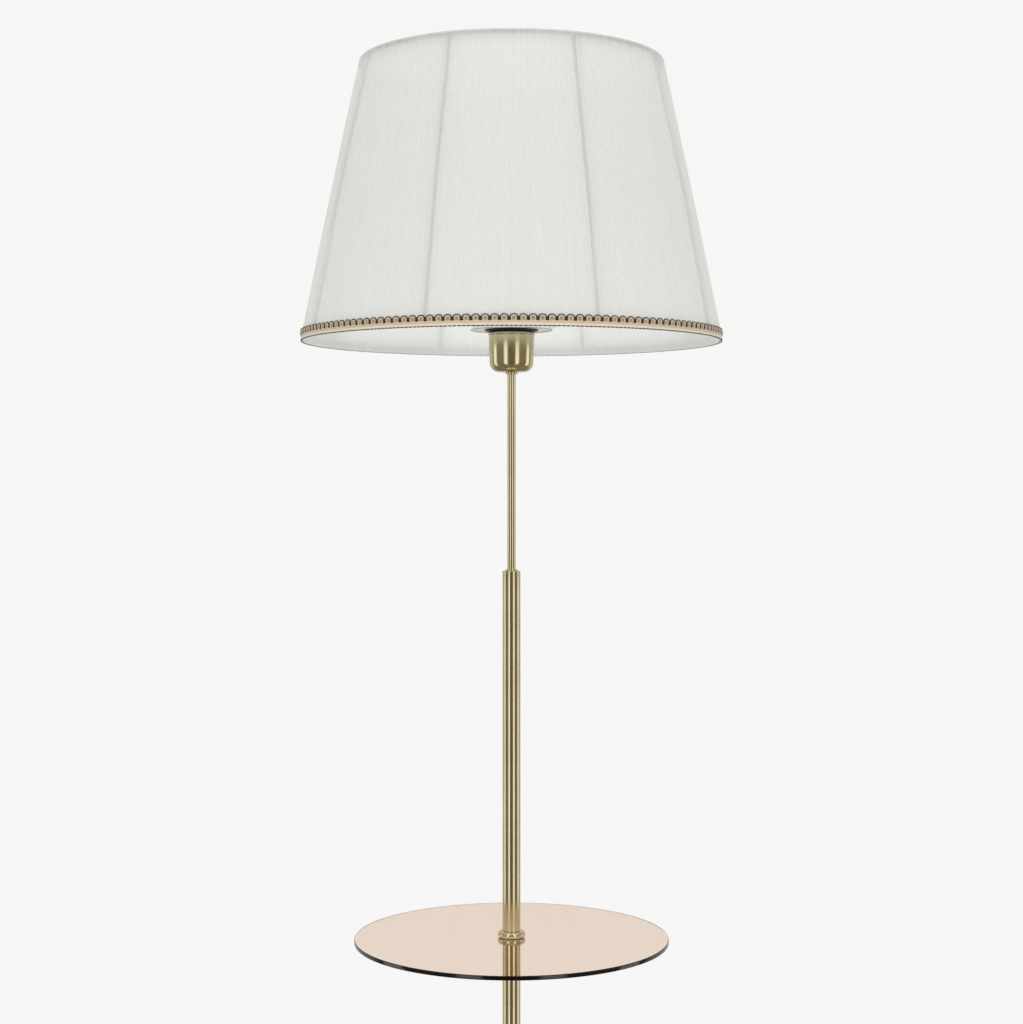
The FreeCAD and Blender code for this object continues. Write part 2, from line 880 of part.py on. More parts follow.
def bulb_cap():
    """Screw cap: thin ringed sleeve."""
    root = bulb_cap_radius - socket_thread_depth
    inner = root - bulb_cap_wall
    count = int(bulb_cap_length / socket_thread_pitch)
    return turned(
        (inner, bulb_cap_bottom),
        *thread_moves(root, socket_thread_depth, bulb_cap_bottom, socket_thread_pitch, count),
        (root, bulb_cap_top),
        (inner, bulb_cap_top),
    )


def bulb_collar():
    """Neck of the bulb: a plug in the cap, a short neck and a flare up to the globe."""
    plug = bulb_cap_radius - socket_thread_depth - bulb_cap_wall - fit_gap
    neck = bulb_cap_radius + bulb_neck_lip
    neck_top = bulb_cap_top + bulb_neck_length
    middle = ((neck + bulb_shoulder_radius) / 2 - bulb_flare_draw, (neck_top + shoulder_z) / 2)
    return turned(
        (0, bulb_cap_top - bulb_plug_depth),
        (plug, bulb_cap_top - bulb_plug_depth),
        (plug, bulb_cap_top + touch_gap),
        (neck, bulb_cap_top + touch_gap),
        (neck, neck_top),
        (middle, (bulb_shoulder_radius, shoulder_z)),
        (0, shoulder_z),
    )


def bulb_globe():
    """Round opal shell on the collar."""
    inner = bulb_radius - bulb_shell_wall
    start_angle = math.atan2(shoulder_z - bulb_centre_z, bulb_shoulder_radius)
    middle_angle = (start_angle + math.pi / 2) / 2
    inner_start = math.asin((shoulder_z - bulb_centre_z) / inner)
    inner_middle = (inner_start + math.pi / 2) / 2

    def on_sphere(radius, angle):
        return radius * math.cos(angle), bulb_centre_z + radius * math.sin(angle)

    return turned(
        (bulb_shoulder_radius, shoulder_z),
        (on_sphere(bulb_radius, middle_angle), (0, bulb_centre_z + bulb_radius)),
        (0, bulb_centre_z + inner),
        (on_sphere(inner, inner_middle), on_sphere(inner, inner_start)),
    )


# ---------------------------------------------------------------- wires


def pole_wire(side):
    """One insulated wire from the terminal block, up the pole, to its terminal in the lampholder."""
    x = side * wire_pitch / 2
    pole_x = side * block_pole_pitch / 2
    post_x = side * wire_post_distance
    block_face = block_distance - block_length / 2
    fan_z = nipple_top + nipple_wire_rise
    points = [
        V(pole_x, block_distance - block_length / 4 + wire_clamp_overrun, block_tunnel_z),
        V(pole_x, block_face - wire_straight_exit, block_tunnel_z),
        V(x, block_face / 2, wire_low_height),
        V(x, 0, wire_low_height),
        V(x, 0, fan_z),
        V(post_x, 0, fan_z + wire_part_height),
        V(post_x, 0, insert_bottom + insert_height * 0.5 - fit_gap),
    ]
    return rod_along(points, wire_radius)


# ---------------------------------------------------------------- all pieces


def parts():
    """Every piece by its name."""
    return {
        "foot_pad": foot_pad(),
        "base_ballast": base_ballast(),
        "base_cover": base_cover(),
        "base_stud": threaded_rod(base_rod_bottom, lower_tube_bottom + rod_engagement),
        "base_washer": ring(rod_radius + slide_gap, washer_radius, base_nut_top, recess_top),
        "base_nut": hex_nut(nut_across_flats, rod_radius + fit_gap, base_nut_top - nut_height, nut_height),
        "cord_bushing": cord_bushing(),
        "terminal_block": terminal_block(),
        "terminal_block_screws": terminal_block_screws(),
        "base_bead": bead(base_top, True),
        "lower_tube": thick_tube(lower_tube_bottom, lower_tube_top),
        "lower_tube_foot_plug": tube_plug(lower_tube_bottom, lower_tube_bottom + plug_length),
        "lower_tube_head_plug": tube_plug(lower_tube_top - plug_length, lower_tube_top),
        "table_bead_lower": bead(glass_bottom - table_washer_thickness, False),
        "table_washer_lower": ring(
            rod_radius + slide_gap,
            table_washer_radius,
            glass_bottom - table_washer_thickness,
            glass_bottom,
        ),
        "table_bush": ring(rod_radius + fit_gap, glass_hole_radius - fit_gap, glass_bottom, glass_top),
        "table_glass": table_glass(),
        "table_washer_upper": ring(
            rod_radius + slide_gap,
            table_washer_radius,
            glass_top,
            glass_top + table_washer_thickness,
        ),
        "table_bead_upper": bead(glass_top + table_washer_thickness, True),
        "table_stud": threaded_rod(lower_tube_top - rod_engagement, middle_tube_bottom + rod_engagement),
        "middle_tube": thick_tube(middle_tube_bottom, middle_tube_top),
        "middle_tube_foot_plug": tube_plug(middle_tube_bottom, middle_tube_bottom + plug_length),
        "tube_cap": tube_cap(),
        "thin_tube": thin_tube(),
        "neck_ring": ring(
            thin_tube_radius + fit_gap,
            neck_ring_radius,
            cup_bottom - neck_ring_height,
            cup_bottom,
        ),
        "holder_cup": holder_cup(),
        "cup_nut": hex_nut(cup_nut_across_flats, rod_radius + fit_gap, cup_floor, cup_nut_height),
        "holder_nipple": ring(thin_tube_radius + fit_gap, rod_radius, cup_floor, nipple_top),
        "holder_dome": holder_dome(),
        "holder_insert": holder_insert(),
        "holder_terminal_screws": holder_terminal_screws(),
        "holder_skirt": holder_skirt(),
        "holder_shell": holder_shell(),
        "centre_contact": centre_contact(),
        "clamp_ring_lower": clamp_ring(plate_bottom, lower_ring_height, False),
        "clamp_ring_upper": clamp_ring(upper_ring_bottom, upper_ring_height, True),
        "fitter_plate": fitter_plate(),
        "fitter_arms": fitter_arms(),
        "shade_bottom_ring": frame_ring(bottom_ring_r, bottom_ring_z),
        "shade_top_ring": frame_ring(top_ring_r, top_ring_z),
        "shade_ribs": shade_ribs(),
        "shade_fabric": shade_fabric(),
        "shade_hem": shade_fold(bottom_ring_r, shade_bottom, 1),
        "shade_top_fold": shade_fold(top_ring_r, shade_top, -1),
        "shade_braid": shade_braid(),
        "bulb_contact": bulb_contact(),
        "bulb_insulator": bulb_insulator(),
        "bulb_cap": bulb_cap(),
        "bulb_collar": bulb_collar(),
        "bulb_globe": bulb_globe(),
        "live_wire": pole_wire(1),
        "neutral_wire": pole_wire(-1),
    }


def main():
    os.makedirs("parts", exist_ok=True)
    for name, shape in parts().items():
        if not shape.isValid() or shape.Volume <= 0:
            raise ValueError(f"{name} is not a good solid")
        shape.exportStep(os.path.join("parts", f"{name}.step"))
        print(f"{name}: {len(shape.Solids)} solid(s), {shape.Volume / 1000:.2f} cm3")


main()
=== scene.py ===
"""Floor lamp with a round glass table and a pleated shade: a Blender add-on that is run as a script.

The CAD frame is loaded first. Each operator then makes one piece, or a group of like pieces, round it, in
metres and on the CAD's own axes: the lamp stands on z = 0, its pole is the Z axis and its front faces -Y.
New pieces are surfaces of two parameters worked out as whole arrays. Outlines are written in millimetres of
radius and height.
"""

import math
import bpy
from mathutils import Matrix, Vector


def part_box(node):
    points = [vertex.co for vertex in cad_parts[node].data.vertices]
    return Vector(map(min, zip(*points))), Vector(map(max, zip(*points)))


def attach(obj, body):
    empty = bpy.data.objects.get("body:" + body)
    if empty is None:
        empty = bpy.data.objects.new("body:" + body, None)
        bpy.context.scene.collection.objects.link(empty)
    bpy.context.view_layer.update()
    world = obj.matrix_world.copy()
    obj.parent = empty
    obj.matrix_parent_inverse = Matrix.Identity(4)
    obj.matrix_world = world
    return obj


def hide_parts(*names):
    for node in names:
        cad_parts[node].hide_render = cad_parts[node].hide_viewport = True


bl_info = {
    "name": "Floor lamp with glass table",
    "version": (1, 0, 0),
    "blender": (4, 5, 0),
    "location": "3D View > Sidebar > Lamp",
    "description": "Makes the pieces of a floor lamp with a round glass table and a pleated shade",
    "category": "Object",
}

import bmesh
import bpy
import numpy as np

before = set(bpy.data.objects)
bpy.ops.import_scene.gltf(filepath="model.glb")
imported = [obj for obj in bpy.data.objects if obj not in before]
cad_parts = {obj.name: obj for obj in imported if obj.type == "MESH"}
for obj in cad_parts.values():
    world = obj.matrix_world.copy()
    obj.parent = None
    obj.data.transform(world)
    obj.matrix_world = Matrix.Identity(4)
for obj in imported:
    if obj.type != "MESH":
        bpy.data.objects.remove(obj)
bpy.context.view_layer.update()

MM = 0.001
TURN = 2 * math.pi
SMALL = 1e-4  # millimetres within which two outline points are one
BALL = np.radians([0, 25, 50, 75])  # angles of the rings of points on the half ball that ends a tube
ACROSS = np.array([0.0, 1.0, 0.0])  # square to a path that lies in the plane of X and Z

# ---------------------------------------------------------------- shapes


def round_node(node):
    """(radius, lowest, highest) of a round CAD node about the Z axis, in millimetres."""
    low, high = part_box(node)
    return (high.x - low.x) / 2 / MM, low.z / MM, high.z / MM


def outline(corners, steps=6):
    """Outline of (radius, height, rounding) corners.

    A corner becomes (1-s)^2 first + 2s(1-s) corner + s^2 last for s from 0 to 1, where first and last lie at
    the rounding's distance before and after it. A point on each run close to its corners keeps the run's
    shading straight.
    """
    given = np.array(corners, float)
    at, size = given[:, :2], given[:, 2:]
    back, ahead = np.roll(at, 1, 0) - at, np.roll(at, -1, 0) - at
    far_back = np.linalg.norm(back, axis=1, keepdims=True)
    far_ahead = np.linalg.norm(ahead, axis=1, keepdims=True)
    back, ahead = back / far_back, ahead / far_ahead
    first = at + back * np.minimum(size, 0.45 * far_back)
    last = at + ahead * np.minimum(size, 0.45 * far_ahead)
    before = at + back * np.minimum(2 * size, 0.48 * far_back)
    after = at + ahead * np.minimum(2 * size, 0.48 * far_ahead)
    s = np.linspace(0, 1, steps)[None, :, None]
    arc = (1 - s) ** 2 * first[:, None] + 2 * s * (1 - s) * at[:, None] + s**2 * last[:, None]
    line = np.concatenate([before[:, None], arc, after[:, None]], 1).reshape(-1, 2)
    step = np.linalg.norm(line - np.roll(line, 1, 0), axis=1)
    return line[step > SMALL]


def arc_through(a, b, c, steps=9):
    """Outline corners on the circle through a, b and c, from a to c, evenly spaced in angle."""
    square = [p[0] ** 2 + p[1] ** 2 for p in (a, b, c)]
    area = 2 * (a[0] * (b[1] - c[1]) + b[0] * (c[1] - a[1]) + c[0] * (a[1] - b[1]))
    x = (square[0] * (b[1] - c[1]) + square[1] * (c[1] - a[1]) + square[2] * (a[1] - b[1])) / area
    y = (square[0] * (c[0] - b[0]) + square[1] * (a[0] - c[0]) + square[2] * (b[0] - a[0])) / area
    radius = math.hypot(a[0] - x, a[1] - y)
    ends = np.unwrap([math.atan2(p[1] - y, p[0] - x) for p in (a, b, c)])
    angle = np.linspace(ends[0], ends[2], steps)
    return [(x + radius * math.cos(t), y + radius * math.sin(t), 0.0) for t in angle]


def dense(line, step, closed=True):
    """The same outline with points added so that no run between two points is longer than step."""
    ahead = np.roll(line, -1, 0)
    parts = np.maximum(1, np.ceil(np.linalg.norm(ahead - line, axis=1) / step).astype(int))
    if not closed:
        parts[-1] = 1
    start = np.repeat(np.arange(len(line)), parts)
    first = np.repeat(np.cumsum(parts) - parts, parts)
    share = ((np.arange(parts.sum()) - first) / parts[start])[:, None]
    return line[start] * (1 - share) + ahead[start] * share


def surface(name, points, wrap_u=True, wrap_v=True, flip=False, sharp=40.0, weld=False):
    """New object with a grid of quads through points[u, v], or points[copy, u, v] for copies, in metres.

    A grid joins its last row to its first where a wrap is set. The UV map Surface holds metres both ways.
    """
    stack = points if points.ndim == 4 else points[None]
    copies, n, m = stack.shape[:3]
    u, v = np.meshgrid(np.arange(n if wrap_u else n - 1), np.arange(m if wrap_v else m - 1), indexing="ij")
    order = [3, 2, 1, 0] if flip else [0, 1, 2, 3]
    corner_u = np.stack([u, u + 1, u + 1, u], -1).reshape(-1, 4)[:, order]
    corner_v = np.stack([v, v, v + 1, v + 1], -1).reshape(-1, 4)[:, order]
    one = corner_u % n * m + corner_v % m
    faces = (one[None] + np.arange(copies)[:, None, None] * n * m).reshape(-1, 4)
    mesh = bpy.data.meshes.new(name)
    mesh.from_pydata(stack.reshape(-1, 3).tolist(), [], faces.tolist())
    step_u = np.linalg.norm(np.roll(stack[0], -1, 0) - stack[0], axis=2).mean(1)
    step_v = np.linalg.norm(np.roll(stack[0], -1, 1) - stack[0], axis=2).mean(0)
    along_u = np.concatenate([[0], np.cumsum(step_u)])
    along_v = np.concatenate([[0], np.cumsum(step_v)])
    layer = mesh.uv_layers.new(name="Surface")
    uv = np.tile(np.stack([along_u[corner_u], along_v[corner_v]], -1).ravel(), copies)
    layer.data.foreach_set("uv", uv)
    if weld:
        work = bmesh.new()
        work.from_mesh(mesh)
        bmesh.ops.remove_doubles(work, verts=work.verts, dist=1e-7)
        work.to_mesh(mesh)
        work.free()
    mesh.shade_smooth()
    mesh.set_sharp_from_angle(angle=math.radians(sharp))
    mesh.validate()
    piece = bpy.data.objects.new(name, mesh)
    bpy.context.scene.collection.objects.link(piece)
    return piece


def turned(name, line, around=128, closed=True, ripple=None, move=None, sharp=40.0):
    """Surface of revolution: (r cos a, r sin a, z) for each outline point (r, z) and each angle a.

    ripple(a, r, z) is added to the radius, and move(points) sets the finished points elsewhere.
    """
    a = np.arange(around)[:, None] * TURN / around
    r, z = line[:, 0][None], line[:, 1][None]
    wide = r + (0 * a if ripple is None else ripple(a, r, z))
    points = np.stack([wide * np.cos(a), wide * np.sin(a), z + 0 * a], -1)
    if move is not None:
        points = move(points)
    return surface(name, points * MM, wrap_v=closed, weld=line[:, 0].min() < SMALL, sharp=sharp)


def about_axis(points, angles):
    """Copies of points turned about the Z axis by angles in radians, stacked along a new first axis."""
    c, s = np.cos(angles), np.sin(angles)
    turn = np.array([[c, -s, 0 * c], [s, c, 0 * c], [0 * c, 0 * c, 1 + 0 * c]])
    return np.einsum("ijk,...j->k...i", turn, points)


def tube_points(centre, outward, radius, sides=10, closed=True):
    """Grid of centre + radius (cos a * out + sin a * side), where out is outward made square to the path.

    An open path gets a half ball on each end.
    """
    radius = np.broadcast_to(radius, len(centre)).astype(float)
    outward = np.broadcast_to(outward, centre.shape)
    if not closed:
        first = (centre[0] - centre[1]) / np.linalg.norm(centre[0] - centre[1])
        last = (centre[-1] - centre[-2]) / np.linalg.norm(centre[-1] - centre[-2])
        start = centre[0] + first * radius[0] * np.cos(BALL)[:, None]
        end = centre[-1] + last * radius[-1] * np.cos(BALL)[::-1, None]
        centre = np.concatenate([start, centre, end])
        radius = np.concatenate([radius[0] * np.sin(BALL), radius, radius[-1] * np.sin(BALL)[::-1]])
        outward = np.pad(outward, ((len(BALL), len(BALL)), (0, 0)), "edge")
        along = np.gradient(centre, axis=0)
    else:
        along = np.roll(centre, -1, 0) - np.roll(centre, 1, 0)
    along = along / np.linalg.norm(along, axis=1, keepdims=True)
    side = np.cross(along, outward)
    side = side / np.linalg.norm(side, axis=1, keepdims=True)
    out = np.cross(side, along)
    a = np.arange(sides)[None, :, None] * TURN / sides
    return centre[:, None] + radius[:, None, None] * (np.cos(a) * out[:, None] + np.sin(a) * side[:, None])


def wire(name, route, thick, angles):
    """Round wire with balled ends along a route of (radius, height) points, at each of the angles."""
    centre = np.stack([route[:, 0], 0 * route[:, 0], route[:, 1]], 1)
    points = about_axis(tube_points(centre, ACROSS, thick, 12, False), angles)
    return surface(name, points * MM, wrap_u=False, weld=True)


def circle(r, z, radius, count):
    """Outline of a round wire's section about (r, z)."""
    a = np.arange(count) * TURN / count
    return np.stack([r + radius * np.cos(a), z + radius * np.sin(a)], 1)


def ring_section(inner, outer, low, high, soft, inner_soft=None, steps=6):
    """Outline of a plain ring, with its outer and inner corners rounded."""
    inside = soft if inner_soft is None else inner_soft
    corners = [(inner, low, inside), (outer, low, soft), (outer, high, soft), (inner, high, inside)]
    return outline(corners, steps)


def thread(low, high, pitch, depth):
    """Ripple of a screw thread from low to high.

    It is half the depth times 1 + the cosine of (a full turn for each pitch of height, less the angle about
    the axis), and it fades out over one pitch at each end.
    """

    def ripple(a, r, z):
        fade = np.clip((z - low) / pitch, 0, 1) * np.clip((high - z) / pitch, 0, 1)
        return depth * fade * (0.5 + 0.5 * np.cos(TURN * (z - low) / pitch - a))

    return ripple


# ---------------------------------------------------------------- finishes


class Finish:
    """The nodes of a new material or world, with short ways to add and join them."""

    def __init__(self, owner, output="ShaderNodeOutputMaterial"):
        owner.use_nodes = True
        self.nodes, self.links = owner.node_tree.nodes, owner.node_tree.links
        self.nodes.clear()
        self.end = self.add(output)

    def add(self, kind, sockets=(), **settings):
        """Adds a node, sets its settings, and joins or sets its sockets by name or number."""
        node = self.nodes.new(kind)
        for key, value in settings.items():
            setattr(node, key, value)
        for key, value in dict(sockets).items():
            if isinstance(value, bpy.types.NodeSocket):
                self.links.new(value, node.inputs[key])
            else:
                node.inputs[key].default_value = value
        return node

    def place(self, scale=(1, 1, 1), uv=False):
        """Object coordinates, or the Surface UV map, scaled by a Mapping node."""
        if uv:
            source = self.add("ShaderNodeUVMap", uv_map="Surface").outputs[0]
        else:
            source = self.add("ShaderNodeTexCoord").outputs["Object"]
        return self.add("ShaderNodeMapping", {"Vector": source, "Scale": scale}).outputs[0]

    def math(self, what, a, b=0.5, clamp=False):
        """A Math node's result."""
        return self.add("ShaderNodeMath", {0: a, 1: b}, operation=what, use_clamp=clamp).outputs[0]

    def noise(self, where, scale, detail=3.0, rough=0.55):
        """Noise from 0 to 1."""
        sockets = {"Vector": where, "Scale": scale, "Detail": detail, "Roughness": rough}
        return self.add("ShaderNodeTexNoise", sockets).outputs[0]

    def blend(self, share, a, b):
        """Colour a at share 0 and b at share 1."""
        return self.add("ShaderNodeMix", {0: share, 6: a, 7: b}, data_type="RGBA").outputs[2]

    def ramp(self, value, low, high, to_low=0.0, to_high=1.0):
        """value from low..high carried over to to_low..to_high, smoothly and clamped."""
        sockets = {0: value, 1: low, 2: high, 3: to_low, 4: to_high}
        return self.add("ShaderNodeMapRange", sockets, interpolation_type="SMOOTHSTEP").outputs[0]

    def bump(self, height, distance, strength=0.5):
        """A Bump node's normal, for a height in shares of distance metres."""
        sockets = {"Height": height, "Distance": distance, "Strength": strength}
        return self.add("ShaderNodeBump", sockets).outputs[0]

    def mix(self, share, a, b):
        """Shader a at share 0 and shader b at share 1."""
        return self.add("ShaderNodeMixShader", {0: share, 1: a, 2: b}).outputs[0]

    def seen_and_mirrored(self):
        """Two values: 1 for rays from the camera or through glass, and 1 for rays off a shiny piece."""
        ray = self.add("ShaderNodeLightPath").outputs
        seen = self.math("MAXIMUM", ray["Is Camera Ray"], ray["Is Transmission Ray"])
        return seen, self.math("SUBTRACT", ray["Is Glossy Ray"], ray["Is Transmission Ray"], True)

    def principled(self, colour, rough, normal=None, **more):
        """A Principled shader, which is also joined to the output."""
        sockets = {"Base Color": colour, "Roughness": rough}
        sockets.update({key.replace("_", " "): value for key, value in more.items()})
        if normal is not None:
            sockets["Normal"] = normal
        shader = self.add("ShaderNodeBsdfPrincipled", sockets)
        self.finish(shader.outputs[0])
        return shader.outputs[0]

    def finish(self, shader):
        """Joins a shader to the output."""
        self.links.new(shader, self.end.inputs["Surface"])


def rgb(colour, level=1.0):
    """Four numbers of a colour made lighter or darker by level."""
    return tuple(min(1.0, c * level) for c in colour[:3]) + (1.0,)


def turning_lines(f, scale):
    """Coordinates whose bands are fine rings round Z: distance from the axis, height, and a slow change."""
    here = f.add("ShaderNodeTexCoord").outputs["Object"]
    flat = f.add("ShaderNodeVectorMath", {0: here, 1: (1, 1, 0)}, operation="MULTIPLY").outputs[0]
    radius = f.add("ShaderNodeVectorMath", {0: flat}, operation="LENGTH").outputs["Value"]
    height = f.add("ShaderNodeSeparateXYZ", {0: here}).outputs[2]
    slow = f.math("MULTIPLY", f.noise(here, 40.0, 1.0), 3.0)
    rings = {0: f.math("MULTIPLY", radius, scale), 1: f.math("MULTIPLY", height, scale), 2: slow}
    return f.add("ShaderNodeCombineXYZ", rings).outputs[0]


def antique_brass(f, look):
    """Satin brass with fine turning lines and a thin uneven patina."""
    lines = f.noise(turning_lines(f, 1800.0), 1.0, 2.0, 0.6)
    cloud = f.noise(f.place(), 26.0, 3.0)
    patina = f.blend(f.ramp(cloud, 0.35, 0.7, 0.0, 0.4), rgb(look.brass), rgb(look.brass_patina))
    colour = f.blend(f.ramp(lines, 0.3, 0.8, 0.0, 0.12), patina, rgb(look.brass_patina))
    smooth = look.brass_roughness
    rough = f.math("ADD", f.ramp(lines, 0.2, 0.8, smooth, smooth + 0.02), f.ramp(cloud, 0.3, 0.8, 0.0, 0.03))
    f.principled(colour, rough, f.bump(lines, 2e-7), Metallic=1.0)


def plain_metal(base, dull, rough, depth=0.00001, scale=260.0):
    """Maker of a metal finish with fine grain and duller clouds."""

    def make(f, look):
        grain = f.noise(f.place(), scale * 6, 3.0)
        cloud = f.noise(f.place(), scale / 6, 3.0)
        colour = f.blend(f.ramp(cloud, 0.35, 0.75), base, dull)
        uneven = f.ramp(grain, 0.2, 0.8, rough - 0.06, rough + 0.1)
        f.principled(colour, uneven, f.bump(grain, depth), Metallic=1.0)

    return make


def moulded(base, speck, rough, scale=900.0, depth=0.00002, coat=0.0, inside=0.0, shine=0.5):
    """Maker of a moulded or fired finish with fine pores and a little colour variation."""

    def make(f, look):
        pores = f.noise(f.place(), scale, 3.0)
        cloud = f.noise(f.place(), scale / 25, 2.0)
        colour = f.blend(f.ramp(cloud, 0.35, 0.7), base, speck)
        uneven = f.ramp(pores, 0.2, 0.8, rough - 0.05, rough + 0.08)
        more = {"Coat_Weight": coat, "Subsurface_Weight": inside, "Specular_IOR_Level": shine}
        f.principled(colour, uneven, f.bump(pores, depth), Coat_Roughness=0.08, **more)

    return make


def cast_iron(f, look):
    """Black painted casting with a pitted skin."""
    pits = f.noise(f.place(), 420.0, 5.0, 0.7)
    rust = f.noise(f.place(), 35.0, 4.0, 0.65)
    colour = f.blend(f.ramp(rust, 0.62, 0.78), rgb((0.03, 0.03, 0.032)), rgb((0.11, 0.055, 0.03)))
    f.principled(colour, f.ramp(pits, 0.3, 0.7, 0.55, 0.8), f.bump(pits, 0.0004, 0.7))


def felt(f, look):
    """Pressed black felt: short fibres in every direction."""
    fibre = f.noise(f.place((1, 1, 1.8)), 1500.0, 4.0, 0.8)
    tuft = f.noise(f.place(), 210.0, 3.0)
    colour = f.blend(fibre, rgb((0.018, 0.018, 0.02)), rgb((0.075, 0.075, 0.08)))
    f.principled(colour, 0.95, f.bump(f.math("ADD", fibre, tuft), 0.0004, 0.8), Sheen_Weight=0.5)


def nylon(f, look):
    """Natural nylon, milky and a little see-through."""
    cloud = f.noise(f.place(), 120.0, 2.0)
    colour = f.blend(cloud, rgb((0.86, 0.86, 0.83)), rgb((0.76, 0.76, 0.72)))
    f.principled(colour, f.ramp(cloud, 0.3, 0.7, 0.22, 0.34), Transmission_Weight=0.35, IOR=1.53)


def tinted_glass(f, look):
    """Peach tinted glass. Its colour comes from the length of the way through it, and lamps shine through."""
    clear = f.principled(rgb((1, 1, 1)), 0.0, IOR=1.5, Transmission_Weight=1.0)
    through = f.add("ShaderNodeBsdfTransparent", {"Color": rgb(look.glass_shadow)})
    f.finish(f.mix(f.add("ShaderNodeLightPath").outputs["Is Shadow Ray"], clear, through.outputs[0]))
    tint = f.add("ShaderNodeVolumeAbsorption", {"Color": rgb(look.glass_tint), "Density": look.glass_density})
    f.links.new(tint.outputs[0], f.end.inputs["Volume"])


def enamel(colour_name):
    """Maker of a baked enamel with a slight orange peel."""

    def make(f, look):
        base = getattr(look, colour_name)
        peel = f.noise(f.place(), 700.0, 2.0)
        cloud = f.noise(f.place(), 30.0, 2.0)
        colour, rough = f.blend(cloud, rgb(base), rgb(base, 0.94)), f.ramp(peel, 0.3, 0.7, 0.28, 0.38)
        f.principled(colour, rough, f.bump(peel, 0.00003), Coat_Weight=0.25, Coat_Roughness=0.15)

    return make


def sheer_cloth(colour_name, through, open_share, painted_slit_light=0.0, weave=0.6):
    """Maker of a sheer cloth: a matt front, light through its threads and gaps between them.

    through is the share of light that the threads let through, open_share that of the gaps, weave the
    contrast of the threads, and the fourth argument how much paler the upright slits are painted: painted
    light that stands for light showing through where gathers part.
    """

    def make(f, look):
        base = getattr(look, colour_name)
        across = f.noise(f.place((220.0, 2600.0, 1), uv=True), 1.0, 2.0, 0.7)
        upright = f.noise(f.place((1500.0, 9.0, 1), uv=True), 1.0, 3.0, 0.6)
        threads = f.math("ADD", f.math("MULTIPLY", across, 0.4 * weave), f.math("MULTIPLY", upright, weave))
        colour = f.blend(f.ramp(threads, 0.15 * weave, 1.25 * weave), rgb(base, 0.97), rgb(base, 1.015))
        if painted_slit_light:
            # Painted light: the slits are blended towards the lining's paler colour, as if light showed
            # through parted gathers.
            slits = f.noise(f.place((230.0, 4.0, 1), uv=True), 1.0, 1.0)
            colour = f.blend(f.ramp(slits, 0.56, 0.64, 0.0, painted_slit_light), colour, rgb(look.lining))
        skin = f.bump(threads, 0.00005, 0.3)
        front = f.principled(colour, 0.85, skin, Sheen_Weight=0.25, Sheen_Roughness=0.4)
        back = f.add("ShaderNodeBsdfTranslucent", {"Color": colour}).outputs[0]
        gap = f.add("ShaderNodeBsdfTransparent").outputs[0]
        gaps = f.ramp(upright, 0.3, 0.7, open_share * 1.15, open_share * 0.85)
        f.finish(f.mix(gaps, f.mix(through, front, back), gap))

    return make


def yarn(colour_name, dark, sheen=0.25, twist=500.0):
    """Maker of a twisted yarn finish: slanted plies along the piece's own UV map, with short hairs.

    dark is the level of the colour between the plies, a painted shade in the grooves of the twist.
    """

    def make(f, look):
        base = getattr(look, colour_name)
        where = f.place((twist, twist * 1.4, 1), uv=True)
        waves = {"Vector": where, "Scale": 1.0, "Distortion": 1.2, "Detail": 1.0}
        wave = f.add("ShaderNodeTexWave", waves, wave_type="BANDS", bands_direction="DIAGONAL")
        plies = wave.outputs["Fac"]
        hairs = f.noise(f.place(), 3200.0, 3.0, 0.7)
        cloud = f.noise(f.place(), 90.0, 2.0)
        depth = f.math("MULTIPLY", plies, f.ramp(hairs, 0.2, 0.8, 0.7, 1.0))
        # Painted shade: the colour is darker in the grooves between the plies.
        colour = f.blend(f.ramp(depth, 0.1, 0.8), rgb(base, dark), rgb(base, 1.06))
        colour = f.blend(f.ramp(cloud, 0.3, 0.75, 0.0, 0.35), colour, rgb(base, 0.86))
        skin = f.bump(f.math("ADD", plies, hairs), 0.0002, 0.7)
        f.principled(colour, 0.8, skin, Sheen_Weight=sheen, Sheen_Roughness=0.4)

    return make


def opal_glass(f, look):
    """Opal glass: white all through under a smooth skin."""
    cloud = f.noise(f.place(), 20.0, 2.0)
    colour = f.blend(cloud, rgb((0.9, 0.9, 0.88)), rgb((0.86, 0.86, 0.84)))
    milk = {"Subsurface_Weight": 0.4, "Subsurface_Radius": (0.004, 0.004, 0.0035), "Subsurface_Scale": 1.0}
    f.principled(colour, f.ramp(cloud, 0.3, 0.7, 0.14, 0.2), **milk)


